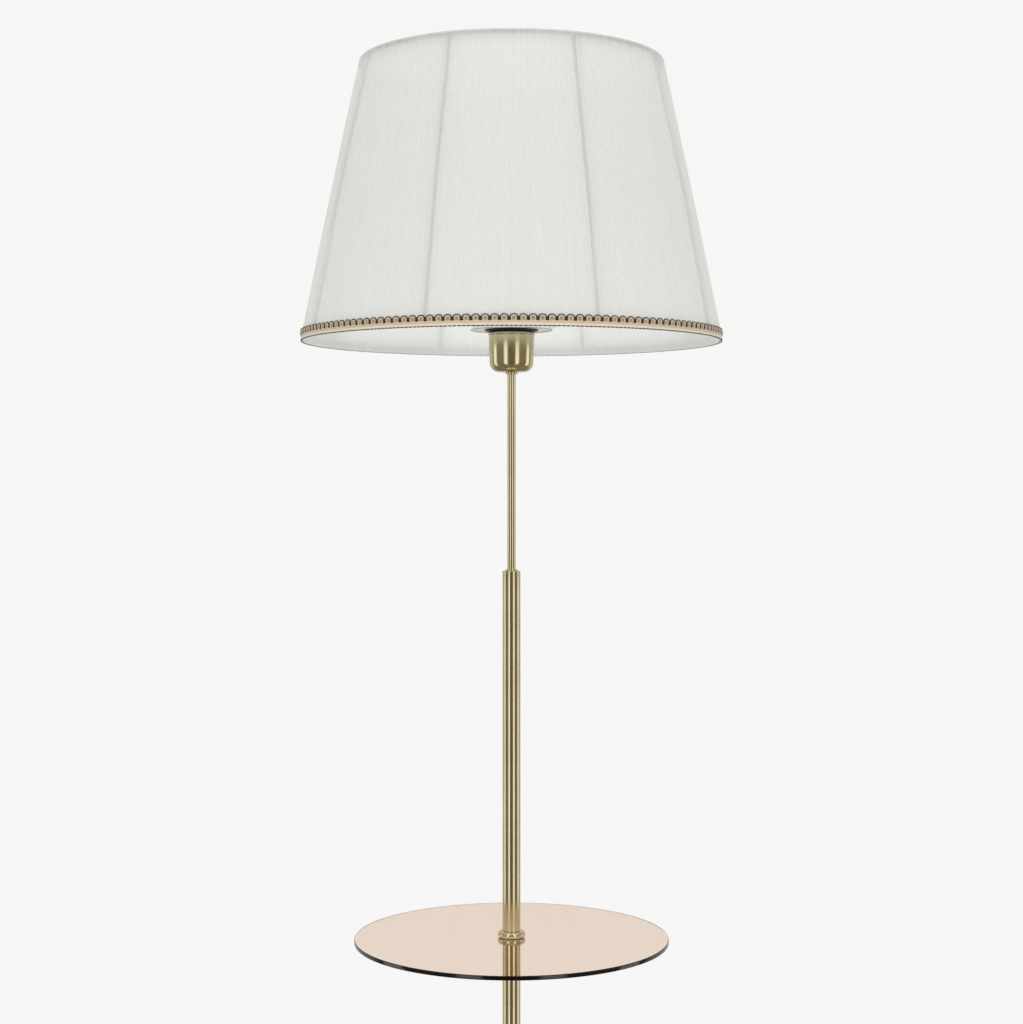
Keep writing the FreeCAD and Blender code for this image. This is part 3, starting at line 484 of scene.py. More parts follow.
FINISHES = {
    "antique_brass": antique_brass,
    "zinc_steel": plain_metal((0.62, 0.63, 0.64, 1), (0.5, 0.51, 0.5, 1), 0.32),
    "cast_iron": cast_iron,
    "felt": felt,
    "black_plastic": moulded((0.009, 0.009, 0.01, 1), (0.016, 0.016, 0.017, 1), 0.4, shine=0.25),
    "clear_plastic": nylon,
    "ceramic": moulded((0.86, 0.85, 0.81, 1), (0.78, 0.77, 0.72, 1), 0.55, depth=0.00006, inside=0.1),
    "contact_brass": plain_metal((0.75, 0.56, 0.27, 1), (0.6, 0.43, 0.2, 1), 0.26),
    "tinted_glass": tinted_glass,
    "white_enamel": enamel("enamel"),
    "rib_enamel": enamel("rib"),
    "pleated_cloth": sheer_cloth("cloth", 0.5, 0.25),
    "lining_cloth": sheer_cloth("lining", 0.68, 0.13),
    # The hem's paler upright slits are painted light through parted gathers.
    "gathered_hem": sheer_cloth("hem", 0.4, 0.05, 0.8),
    "braid": yarn("yarn", 0.8),
    "opal_glass": opal_glass,
    "white_plastic": moulded((0.86, 0.86, 0.84, 1), (0.82, 0.82, 0.8, 1), 0.32, coat=0.1, inside=0.1),
    "bulb_metal": plain_metal((0.66, 0.66, 0.65, 1), (0.56, 0.56, 0.54, 1), 0.22),
    "bulb_insulation": moulded((0.02, 0.02, 0.022, 1), (0.03, 0.03, 0.03, 1), 0.15, coat=0.6),
    "brown_insulation": moulded((0.14, 0.055, 0.025, 1), (0.11, 0.04, 0.02, 1), 0.42),
    "blue_insulation": moulded((0.03, 0.1, 0.42, 1), (0.025, 0.085, 0.36, 1), 0.42),
    "dark_braid": yarn("dark_yarn", 0.5, 0.04),
    "tan_braid": yarn("heart_yarn_painted_shade", 0.7),
    "edge_braid": yarn("edge_yarn", 0.85),
}
made_finishes = {}


def finish_for(name):
    """The material of a finish, made once."""
    if name not in made_finishes:
        material = bpy.data.materials.new(name)
        FINISHES[name](Finish(material), bpy.context.scene.lamp_colours)
        made_finishes[name] = material
    return made_finishes[name]


def dress(piece, finish, body, *nodes):
    """Gives a new piece its finish, its body and the CAD nodes that it stands for."""
    piece.data.materials.clear()
    piece.data.materials.append(finish_for(finish))
    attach(piece, body)
    if nodes:
        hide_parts(*nodes)
    return piece


# ---------------------------------------------------------------- settings


def setting(kind, **always):
    """Maker of properties of one kind, each with its own name, description and default."""

    def make(name, description, default):
        return kind(name=name, description=description, default=default, **always)

    return make


length = setting(bpy.props.FloatProperty, min=0.0, unit="LENGTH", precision=5)
amount = setting(bpy.props.FloatProperty, min=0.0)
share = setting(bpy.props.FloatProperty, min=0.0, max=1.0, subtype="FACTOR")
number = setting(bpy.props.IntProperty, min=3)
tint = setting(bpy.props.FloatVectorProperty, size=3, min=0.0, max=1.0, subtype="COLOR")


class LampColours(bpy.types.PropertyGroup):
    """Colours and gloss of the lamp's finishes."""

    brass: tint("Brass", "Satin antique brass", (0.6, 0.53, 0.34))
    brass_patina: tint("Patina", "Darker brass in the lines and clouds", (0.46, 0.39, 0.23))
    brass_roughness: share("Brass roughness", "Roughness of the smoothest brass", 0.12)
    cloth: tint("Pleated cloth", "Sheer cloth of the pleated cover", (0.81, 0.815, 0.785))
    lining: tint("Lining", "Cloth of the lining, hem and top fold", (0.965, 0.97, 0.96))
    # Painted shade: the hem is the lining's cloth, given a slightly darker colour for the shade that the
    # braid and the lower ring cast on it.
    hem: tint("Hem", "Cloth of the hem, which is folded double", (0.94, 0.935, 0.925))
    # Painted shade: the ribs and rings are a darker grey than the frame's white enamel, so that they show
    # through the cloth as soft shadow lines.
    rib: tint("Ribs", "Grey enamel of the ribs and rings behind the cloth", (0.52, 0.525, 0.53))
    yarn: tint("Beige yarn", "Yarn of the braid's loops and the upper half of its band", (0.68, 0.555, 0.42))
    edge_yarn: tint("Cream yarn", "Yarn of the lower half of the braid's band", (0.85, 0.74, 0.58))
    # Painted shade: the hearts' yarn is darker than the loops' yarn for the shade in each loop's hollow.
    heart_yarn_painted_shade: tint("Tan yarn", "Yarn inside the braid's loops", (0.44, 0.34, 0.225))
    dark_yarn: tint("Dark yarn", "Brown cord of the braid", (0.075, 0.044, 0.014))
    enamel: tint("Enamel", "White enamel of the shade's frame", (0.8, 0.8, 0.79))
    glass_tint: tint("Glass tint", "Colour of the glass in the mass", (0.85, 0.52, 0.2))
    glass_shadow: tint("Glass shadow", "Light that the glass lets through to the floor", (0.88, 0.76, 0.64))
    glass_density: amount("Glass density", "Strength of the tint per metre of glass", 100.0)


class LampShade(bpy.types.PropertyGroup):
    """Sizes of the shade's cloth."""

    pleats: number("Pleats", "Upright pleats round the cover", 360)
    pleat_depth: length("Pleat depth", "Depth of a crease below the pleats' crowns", 0.0006)
    sag: length("Sag", "How far the cover is drawn in midway between two ribs", 0.0014)
    gathers: number("Gathers", "Soft gathers round the lining and the hems", 230)
    gather_depth: length("Gather depth", "Depth of the lining's gathers", 0.0004)
    seed: number("Seed", "Start of the uneven spacing", 7)


class LampBraid(bpy.types.PropertyGroup):
    """Sizes of the trimming round the shade's lower edge."""

    loops: number("Loops", "Yarn loops round the edge", 153)
    loop_width: length("Loop width", "Width of a loop of beige yarn", 0.0057)
    band_height: length("Band height", "Height of the woven band's top above the shade's lower edge", 0.0055)
    stitches: number("Stitches", "Dark stitches along the lower edge", 306)
    yarn_radius: length("Yarn radius", "Radius of the beige yarn in the loops", 0.00075)
    heart_radius: length("Heart radius", "Radius of the tan yarn inside the loops", 0.00072)
    cord_radius: length("Cord radius", "Radius of the brown cord over the loops", 0.00048)
    edge_radius: length("Edge radius", "Radius of the dark stitched edge", 0.00055)


class LampStage(bpy.types.PropertyGroup):
    """Light and backdrop."""

    sky: share("Sky", "Brightness of the soft light from all sides", 0.72)
    key: amount("Key light", "Power of each front softbox in watts", 16.0)
    backdrop: share("Backdrop", "Brightness of the pale background", 0.925)


# ---------------------------------------------------------------- base and pole


class LAMP_OT_base(bpy.types.Operator):
    """Makes the spun cover, the foot ring and the cord inlet."""

    bl_idname = "lamp.base"
    bl_label = "Base"
    inlet_height = 7.2  # of the cord inlet's own axis above the floor

    def execute(self, context):
        radius, low, top = round_node("base_cover")
        wall, rim, edge, slope, hub, hub_edge = 1.2, 12.0, 9.0, math.radians(3.5), 24.0, 4.0
        centre = radius - edge
        middle = math.pi / 4 - slope / 2
        inner = edge - wall
        in_middle = (math.pi / 2 - slope) / 2
        slope_r, slope_z = centre + edge * math.sin(slope), rim + edge * math.cos(slope)
        in_r, in_z = centre + inner * math.sin(slope), rim + inner * math.cos(slope)
        on_edge = (centre + edge * math.cos(middle), rim + edge * math.sin(middle))
        in_edge = (centre + inner * math.cos(in_middle), rim + inner * math.sin(in_middle))
        bore, soft = 5.2, 0.3
        line = outline(
            [
                (radius - wall, low, soft),
                (radius, low, soft),
                *arc_through((radius, rim), on_edge, (slope_r, slope_z), 17),
                (hub + hub_edge, top - hub_edge * math.tan(slope), 0.0),
                (hub, top, 3.0),
                (bore, top, soft),
                (bore, top - wall, soft),
                (hub, top - wall, 1.0),
                *arc_through((in_r, in_z), in_edge, (radius - wall, rim), 9),
            ]
        )
        cover = turned("cover_spun", dense(line, 9.0), 480)
        self.drill(cover, radius)
        dress(cover, "antique_brass", "stand", "base_cover")
        self.foot_ring()
        self.inlet(radius)
        return {"FINISHED"}

    def drill(self, cover, radius):
        """Cuts the cord inlet's hole through the rim with a Boolean modifier, and keeps the result."""
        line = ring_section(0, 4.25, -6.0, 4.0, 0)
        cutter = turned("inlet_cutter", line, 48, closed=False, move=facing_back(radius, self.inlet_height))
        cut = cover.modifiers.new("hole", "BOOLEAN")
        cut.operation, cut.solver, cut.object = "DIFFERENCE", "EXACT", cutter
        bpy.context.view_layer.update()
        done = bpy.data.meshes.new_from_object(cover.evaluated_get(bpy.context.evaluated_depsgraph_get()))
        cover.modifiers.clear()
        cover.data = done
        bpy.data.objects.remove(cutter)

    def foot_ring(self):
        """Felt ring with softened edges and an uneven skin."""
        outer, low, high = round_node("foot_pad")
        inner, uneven = 36.0, 0.12
        line = outline([(inner, low, 0.6), (outer, low, 0.6), (outer, high, 0.3), (inner, high, 0.3)])

        def skin(a, r, z):
            side = np.where(r > (inner + outer) / 2, 1.0, -1.0)
            return -side * uneven * (1 + np.sin(97 * a + 2 * z) * np.sin(41 * a))

        dress(turned("foot_felt", dense(line, 12.0), 480, ripple=skin), "felt", "stand", "foot_pad")

    def inlet(self, radius):
        """Grooved bushing of the cord inlet, turned about its own axis and set in the rim facing +Y."""
        bore, lip, groove = 3.3, 5.5, 4.2
        inside, seat, face, outside = -4.0, -1.4, 0.02, 1.75
        line = outline(
            [
                (bore, inside, 0.3),
                (lip, inside, 0.4),
                (lip, seat, 0.2),
                (groove, seat, 0.1),
                (groove, face, 0.1),
                (lip, face, 0.05),
                (lip, outside, 0.8),
                (bore, outside, 0.7),
            ]
        )
        piece = turned("inlet_bushing", line, 96, move=facing_back(radius, self.inlet_height))
        dress(piece, "black_plastic", "stand", "cord_bushing")


def facing_back(distance, height):
    """Mover that lays a piece turned about Z down: (x, y, z) becomes (x, distance + z, height - y)."""

    def move(points):
        x, y, z = points[..., 0], points[..., 1], points[..., 2]
        return np.stack([x, distance + z, height - y], -1)

    return move


def bead_outline(face, upwards, height=5.3, wide=13.3, seat=8.65, web=1.3, bore=5.2):
    """Half-round bead on a face: an arc from its foot, through its widest point a third up, to the tube.

    seat is the bore that takes the tube, web the thickness of the bead's floor, and bore the hole through it.
    """
    side = 1 if upwards else -1
    top, floor = face + side * height, face + side * web
    arc = arc_through((wide - 0.6, face), (wide, face + side * height / 3), (seat + 0.8, top), 21)
    corners = [(bore, face, 0), *arc, (seat, top, 0.15), (seat, floor, 0), (bore, floor, 0)]
    return outline(corners if upwards else corners[::-1])


THICK, THIN = 8.6, 4.0  # radii of the tubes


class LAMP_OT_pole(bpy.types.Operator):
    """Makes the tubes, the three beads, the stepped cap and the small ring under the cup."""

    bl_idname = "lamp.pole"
    bl_label = "Pole"

    def execute(self, context):
        for name, node, radius, wall, around in (
            ("tube_lower", "lower_tube", THICK, 1.1, 160),
            ("tube_middle", "middle_tube", THICK, 1.1, 160),
            ("tube_upper", "thin_tube", THIN, 0.8, 96),
        ):
            _, low, high = round_node(node)
            line = dense(ring_section(radius - wall, radius, low, high, 0.15), 60.0)
            dress(turned(name, line, around), "antique_brass", "stand", node)
        for name, node, upwards in (
            ("bead_base", "base_bead", True),
            ("bead_under_glass", "table_bead_lower", False),
            ("bead_on_glass", "table_bead_upper", True),
        ):
            _, low, high = round_node(node)
            line = bead_outline(low if upwards else high, upwards)
            dress(turned(name, line, 160), "antique_brass", "stand", node)
        self.cap()
        _, low, high = round_node("neck_ring")
        line = ring_section(THIN + 0.05, 5.8, low, high, 0.35, 0.1)
        dress(turned("ring_under_cup", line, 96), "antique_brass", "stand", "neck_ring")
        return {"FINISHED"}

    def cap(self):
        """Stepped cap: spigot, shoulder as wide as the tube, and a small boss round the thin tube."""
        _, low, top = round_node("tube_cap")
        joint = low + 12.0
        shoulder, seat = joint + 4.2, joint - 8.0
        bore, spigot, boss, fit = 3.2, 7.45, 5.9, THIN + 0.05
        line = outline(
            [
                (bore, low, 0.0),
                (spigot, low, 0.4),
                (spigot, joint, 0.0),
                (THICK, joint, 0.22),
                (THICK, shoulder, 0.7),
                (boss, shoulder, 0.25),
                (boss, top, 0.5),
                (fit, top, 0.15),
                (fit, seat, 0.0),
                (bore, seat, 0.0),
            ]
        )
        dress(turned("cap_stepped", line, 128), "antique_brass", "stand", "tube_cap")


class LAMP_OT_table(bpy.types.Operator):
    """Makes the round glass with polished, softened edges."""

    bl_idname = "lamp.table"
    bl_label = "Glass table"

    def execute(self, context):
        radius, low, high = round_node("table_glass")
        bore, polish, hole_polish = 6.8, 0.9, 0.3
        line = dense(ring_section(bore, radius, low, high, polish, hole_polish, 9), 40.0)
        dress(turned("table_top", line, 512), "tinted_glass", "stand", "table_glass")
        return {"FINISHED"}


# ---------------------------------------------------------------- lampholder and bulb


class LAMP_OT_holder(bpy.types.Operator):
    """Makes the metal cup, the lampholder's sleeve and its threaded rings."""

    bl_idname = "lamp.holder"
    bl_label = "Lampholder"

    def execute(self, context):
        self.cup()
        self.skirt()
        self.ring("ring_under_plate", "clamp_ring_lower", "stand", False)
        self.ring("ring_on_plate", "clamp_ring_upper", "clamp_ring", True)
        return {"FINISHED"}

    def cup(self):
        """Thin cup with a rounded foot and a small rolled lip, and a pale washer on it whose pale ring is a
        painted highlight along the cup's top.
        """
        _, low, top = round_node("holder_cup")
        radius, corner, wall, lip, bore, taper = 21.0, 9.2, 0.8, 0.6, 4.05, 0.9
        turn, inner, mouth, diagonal = radius - corner, corner - wall, radius + taper, math.sqrt(0.5)
        out_mid = (turn + corner * diagonal, low + corner * (1 - diagonal))
        in_mid = (turn + inner * diagonal, low + corner - inner * diagonal)
        line = outline(
            [
                (bore, low, 0.2),
                *arc_through((turn, low), out_mid, (radius, low + corner), 25),
                (mouth, top - 2 * lip - 1.0, 0.0),
                *arc_through((mouth, top - 2 * lip), (mouth + lip, top - lip), (mouth, top), 9),
                (mouth - wall, top, 0.2),
                (radius - wall, low + corner, 0.0),
                *arc_through((radius - wall, low + corner - 0.2), in_mid, (turn, low + wall), 13),
                (bore, low + wall, 0.0),
            ]
        )
        dress(turned("cup", dense(line, 12.0), 192), "antique_brass", "stand", "holder_cup")
        # Painted highlight: the pale washer gives the bright line along the top of the cup.
        washer_bore, washer, thick = 20.75, 21.9, 1.05
        line = ring_section(washer_bore, washer, top, top + thick, 0.3, 0.1)
        dress(turned("washer_on_cup", line, 192), "clear_plastic", "stand", "holder_cup")

    def skirt(self):
        """Threaded sleeve of the lampholder, with its open mouth."""
        _, low, top = round_node("holder_skirt")
        bore, wide, foot, step = 14.7, 19.0, 16.6, low + 7.0
        line = outline(
            [
                (foot, low, 0.0),
                (wide, low, 0.3),
                (wide, top, 0.6),
                (bore, top, 0.6),
                (bore, step, 0.0),
                (foot, step, 0.0),
            ]
        )
        cut = thread(low + 3.5, top - 1.5, 2.5, 0.5)

        def outside(a, r, z):
            return np.where(r > wide - 0.1, cut(a, r, z), 0.0)

        piece = turned("holder_sleeve", dense(line, 0.35), 96, ripple=outside)
        dress(piece, "black_plastic", "stand", "holder_skirt")

    def ring(self, name, node, body, upwards):
        """Threaded ring: a wide rim with 24 round notches, and a cone away from the plate."""
        _, low, high = round_node(node)
        wide, flange, bore, narrow = 25.7, 1.8, 19.7, 20.6
        face, edge = (low, low + flange) if upwards else (high, high - flange)
        far = high if upwards else low
        step = edge + (far - edge) * 0.35
        corners = [
            (bore, face, 0.2),
            (wide, face, 0.3),
            (wide, (face + edge) / 2, 0.4),
            (narrow + 0.3, step, 0.8),
            (narrow, far, 0.3),
            (bore, far, 0.2),
        ]
        line = dense(outline(corners if upwards else corners[::-1]), 0.6)

        def notch(a, r, z):
            near_edge = np.clip((r - wide + 1.3) / 0.9, 0, 1)
            return -0.6 * near_edge * np.clip(np.cos(24 * a), 0, 1) ** 8

        dress(turned(name, line, 480, ripple=notch), "black_plastic", body, node)


class LAMP_OT_bulb(bpy.types.Operator):
    """Makes the round bulb: opal globe, neck, screw cap, insulator and tip."""

    bl_idname = "lamp.bulb"
    bl_label = "Bulb"
    plug = 12.25  # radius of what the screw cap holds

    def execute(self, context):
        _, tip, tip_top = round_node("bulb_contact")
        wide = 4.6
        line = outline([(0, tip, 0), (wide, tip, 0.9), (wide, tip_top, 0.1), (0, tip_top, 0)])
        dress(turned("bulb_tip", line, 64, closed=False), "bulb_metal", "bulb", "bulb_contact")
        _, low, high = round_node("bulb_insulator")
        plug = self.plug
        corners = [(0, low, 0), (5.0, low, 0.4), (plug, low + 4.0, 0.6), (plug, high, 0.1), (0, high, 0)]
        piece = turned("bulb_insulator_ring", outline(corners), 96, closed=False)
        dress(piece, "bulb_insulation", "bulb", "bulb_insulator")
        _, low, high = round_node("bulb_cap")
        line = dense(ring_section(plug + 0.05, 12.7, low, high, 0.15, 0.1), 0.45)
        cut = thread(low, high, 3.63, 0.5)
        dress(turned("bulb_screw_cap", line, 96, ripple=cut), "bulb_metal", "bulb", "bulb_cap")
        self.collar()
        self.globe()
        return {"FINISHED"}

    def collar(self):
        """Neck between the cap and the globe: a short ring and a flare."""
        wide, low, high = round_node("bulb_collar")
        neck, foot = 13.6, round_node("bulb_cap")[2] + 0.02
        flare = foot - 0.02 + 5.0
        middle = ((neck + wide) / 2 - 1.7, (flare + high) / 2)
        line = outline(
            [
                (0, low, 0),
                (self.plug, low, 0.2),
                (self.plug, foot, 0),
                (neck, foot, 0.3),
                *arc_through((neck, flare), middle, (wide, high), 13),
                (0, high, 0),
            ]
        )
        dress(turned("bulb_neck", line, 128, closed=False), "white_plastic", "bulb", "bulb_collar")

    def globe(self):
        """Opal shell: an outer and an inner sphere joined at the neck."""
        radius, low, high = round_node("bulb_globe")
        wall, mouth, centre = 1.2, 26.5, high - radius
        inner = radius - wall
        down = np.linspace(math.pi / 2, math.asin((low - centre) / inner), 30)
        up = np.linspace(math.atan2(low - centre, mouth), math.pi / 2, 40)
        skins = ((inner, down), (radius, up))
        line = np.concatenate([np.stack([r * np.cos(t), centre + r * np.sin(t)], 1) for r, t in skins])
        line[[0, -1], 0] = 0.0
        dress(turned("bulb_globe_shell", line, 128, closed=False), "opal_glass", "bulb", "bulb_globe")


# ---------------------------------------------------------------- shade


def shade_sizes():
    """Radii and heights of the shade from the CAD nodes, in millimetres."""
    wide, low, top = round_node("shade_fabric")
    _, ring_low, ring_high = round_node("shade_bottom_ring")
    size = {"low": low, "top": top, "wide": wide, "narrow": 146.0, "band": round_node("shade_braid")[2]}
    size["wire"] = (ring_high - ring_low) / 2
    for place, node in (("low_ring", "shade_bottom_ring"), ("top_ring", "shade_top_ring")):
        radius, bottom, high = round_node(node)
        size[place] = (radius - size["wire"], (bottom + high) / 2)
    return size


RIB_TURNS = np.radians(-67.5 + 45.0 * np.arange(8))
ARM_TURNS = RIB_TURNS[::2]
SWELL = 1.3  # of the ribs and the cover, midway up


class LAMP_OT_shade_frame(bpy.types.Operator):
    """Makes the fitter plate, its arms, the two wire rings and the eight ribs."""

    bl_idname = "lamp.shade_frame"
    bl_label = "Shade frame"

    def execute(self, context):
        radius, low, high = round_node("fitter_plate")
        bore, edge, rim = 19.7, radius - (high - low), low - 0.35
        line = outline(
            [
                (bore, low, 0.3),
                (edge, low, 0.3),
                (edge, rim, 0.1),
                (radius, rim, 0.2),
                (radius, high, 0.6),
                (bore, high, 0.3),
            ]
        )
        dress(turned("plate_white", dense(line, 4.0), 192), "white_enamel", "shade", "fitter_plate")
        # Painted shadow: a thin dark steel-coloured bead round the rim draws the dark outline along the
        # plate's lower edge.
        line = circle(radius - 0.45, rim, 0.55, 16)
        dress(turned("plate_edge", line, 192), "zinc_steel", "shade", "fitter_plate")
        size = shade_sizes()
        for place, node in (("low", "shade_bottom_ring"), ("top", "shade_top_ring")):
            line = circle(*size[place + "_ring"], size["wire"], 24)
            dress(turned("ring_" + place, line, 360), "rib_enamel", "shade", node)
        self.ribs(size)
        self.arms(high)
        return {"FINISHED"}

    def ribs(self, size):
        """Ribs: short upright foot, then a long run that swells a little, with a weld at each end."""
        radius, weld, inset = 1.5, 0.55, 2.7
        low_r, low_z = size["low_ring"]
        top_r, top_z = size["top_ring"]
        corners = [
            (low_r, low_z + radius + weld, 0),
            (low_r, size["band"] - radius, 4.0),
            ((size["narrow"] + size["wide"]) / 2 + SWELL - inset, (size["top"] + size["band"]) / 2, 40.0),
            (top_r, top_z - radius - weld, 0),
        ]
        route = dense(outline(corners, 9), 6.0, closed=False)
        from_end = np.minimum(route[:, 1] - route[0, 1], route[-1, 1] - route[:, 1])
        thick = radius + weld * np.exp(-((from_end / 2.2) ** 2))
        dress(wire("ribs_wire", route, thick, RIB_TURNS), "rib_enamel", "shade", "shade_ribs")

    def arms(self, plate_top):
        """Arms: flat on the plate, then a bend and a straight rise to every other rib."""
        radius, foot, bend = 1.6, 27.4, 37.0
        level, end_r, end_z = plate_top + radius + 0.02, 184.86, plate_top + 42.0
        route = outline([(foot, level, 0), (bend, level, 4.5), (end_r, end_z, 0)], 9)
        dress(wire("arms_wire", route, radius, ARM_TURNS), "white_enamel", "shade", "fitter_arms")


def normals_of(line):
    """Unit normals of an open outline, a quarter turn to the right of its way."""
    along = np.gradient(line, axis=0)
    along = along / np.linalg.norm(along, axis=1, keepdims=True)
    return np.stack([along[:, 1], -along[:, 0]], 1)


def gathered_sheet(name, line, count, samples, depth, seed, weight=None, sag=None):
    """Sheet carried round the axis with uneven folds.

    Fold k lies between two boundaries, each moved a little from its even place and wandering a little along
    the sheet. Across a fold the cloth stands depth * |sin(pi f)| out from its crease, for f from 0 to 1,
    times a random share of the fold's own. weight gives the folds' depth along the outline, and
    sag(angle, share) draws the cloth in.
    """
    draw = np.random.default_rng(seed)
    rows = len(line)
    up = np.linspace(0, 1, rows)
    offset = draw.uniform(-0.28, 0.28, count)[:, None]
    waves = draw.uniform(0.3, 0.9, count)[:, None]
    wander = 0.2 * np.sin(TURN * (waves * up + draw.uniform(0, 1, count)[:, None]))
    deep = draw.uniform(0.45, 1.0, count)[:, None]
    bound = np.arange(count)[:, None] + offset + wander
    bound = np.concatenate([bound, bound[:1] + count])
    f = (np.arange(samples) / samples)[None, :, None]
    angle = (bound[:-1, None] * (1 - f) + bound[1:, None] * f) * TURN / count
    fold = np.abs(np.sin(math.pi * f))
    weight = np.ones(rows) if weight is None else weight
    out = -depth * weight * deep[:, None] * (1 - fold)
    if sag is not None:
        out = out - sag(angle, up)
    normal = normals_of(line)
    r = line[:, 0] + out * normal[:, 0]
    z = line[:, 1] + out * normal[:, 1] + 0 * angle
    points = np.stack([r * np.cos(angle), r * np.sin(angle), z], -1).reshape(count * samples, rows, 3)
    return surface(name, points * MM, wrap_v=False, sharp=75.0)


class LAMP_OT_cloth(bpy.types.Operator):
    """Makes the pleated cover, the lining and the cloth folded round both rings."""

    bl_idname = "lamp.cloth"
    bl_label = "Shade cloth"

    def execute(self, context):
        s, size = context.scene.lamp_shade, shade_sizes()
        self.cover(s, size)
        self.lining(s, size)
        self.hem(s, size)
        self.top_fold(s, size)
        return {"FINISHED"}

    def cover(self, s, size):
        """Pleated cover: behind the braid, up the swelled cone and over the top ring."""
        band = np.linspace(size["low"] + 0.6, size["band"], 4)[:-1]
        rise = np.linspace(0, 1, 36)
        ring_r, ring_z = size["top_ring"]
        cone_r = size["wide"] + (size["narrow"] - size["wide"]) * rise + 4 * SWELL * rise * (1 - rise)
        cone_z = size["band"] + (ring_z + 0.4 - size["band"]) * rise
        roll, bend = np.radians(np.linspace(12, 112, 6)), 3.1
        over_r, over_z = ring_r + bend * np.cos(roll), ring_z + bend * np.sin(roll)
        line = np.stack(
            [
                np.concatenate([0 * band + size["wide"] - 0.1, cone_r, over_r]),
                np.concatenate([band, cone_z, over_z]),
            ],
            1,
        )
        flattened = [0.9, 0.7, 0.5, 0.4, 0.4, 0.4]
        weight = np.concatenate([0 * band + 0.45, 0.5 + 0.5 * np.clip(rise * 12, 0, 1), flattened])

        def sag(angle, up):
            between_ribs = 0.5 - 0.5 * np.cos(len(RIB_TURNS) * (angle - RIB_TURNS[0]))
            return s.sag / MM * np.sin(math.pi * up) * between_ribs

        piece = gathered_sheet("cover_pleated", line, s.pleats, 6, s.pleat_depth / MM, s.seed, weight, sag)
        dress(piece, "pleated_cloth", "shade", "shade_fabric")

    def lining(self, s, size):
        """Lining inside the ribs, with soft gathers, stretched flat from rib to rib between the two rings."""
        rise = np.linspace(0, 1, 24)
        low_r, low_z = size["low_ring"]
        top_r, top_z = size["top_ring"]
        gap, hollow = size["wire"] + 0.55, 0.8
        r = (low_r - gap) + (top_r - low_r) * rise - hollow * np.sin(math.pi * rise)
        line = np.stack([r, (low_z + 1.0) + (top_z - low_z - 2.0) * rise], 1)

        def flat(angle, up):
            step = TURN / len(RIB_TURNS)
            middle = ((angle - RIB_TURNS[0]) / step % 1 - 0.5) * step
            free = np.clip((up - 0.03) / 0.94, 0, 1)
            held = (1 - np.exp(-4.5 * free)) * (1 - np.exp(-4.5 * (1 - free)))
            return r * (1 - math.cos(step / 2) / np.cos(middle)) * held

        piece = gathered_sheet("lining", line, s.gathers, 6, s.gather_depth / MM, s.seed + 1, sag=flat)
        dress(piece, "lining_cloth", "shade")

    def hem(self, s, size):
        """Cloth folded under the lower ring and up inside it, with its raw edge turned in."""
        ring_r = size["low_ring"][0]
        low, inner, outer = size["low"], ring_r - size["wire"] - 0.9, size["wide"] - 0.35
        corners = [
            (outer, low + 4.5, 0),
            (outer, low + 0.15, 1.6),
            (inner, low + 0.15, 1.8),
            (inner - 0.05, low + 10.2, 0.5),
            (inner + 0.75, low + 10.0, 0.4),
            (inner + 0.75, low + 6.0, 0),
        ]
        line = outline(corners)[::-1]
        weight = np.clip((ring_r + 0.5 - line[:, 0]) / 3, 0.15, 1.0)
        piece = gathered_sheet("hem_low", line, s.gathers // 2, 10, 0.9, s.seed + 2, weight)
        dress(piece, "gathered_hem", "shade", "shade_hem")

    def top_fold(self, s, size):
        """The same fold over the upper ring and down inside it."""
        ring_r = size["top_ring"][0]
        top, inner = size["top"], ring_r - size["wire"] - 0.9
        corners = [
            (ring_r + 0.6, top + 0.45, 0),
            (inner, top + 0.1, 1.6),
            (inner, top - 10.2, 0.5),
            (inner + 0.75, top - 10.0, 0.4),
            (inner + 0.75, top - 6.0, 0),
        ]
        piece = gathered_sheet("fold_top", outline(corners), s.gathers, 6, 0.5, s.seed + 3)
        dress(piece, "lining_cloth", "shade", "shade_top_fold")


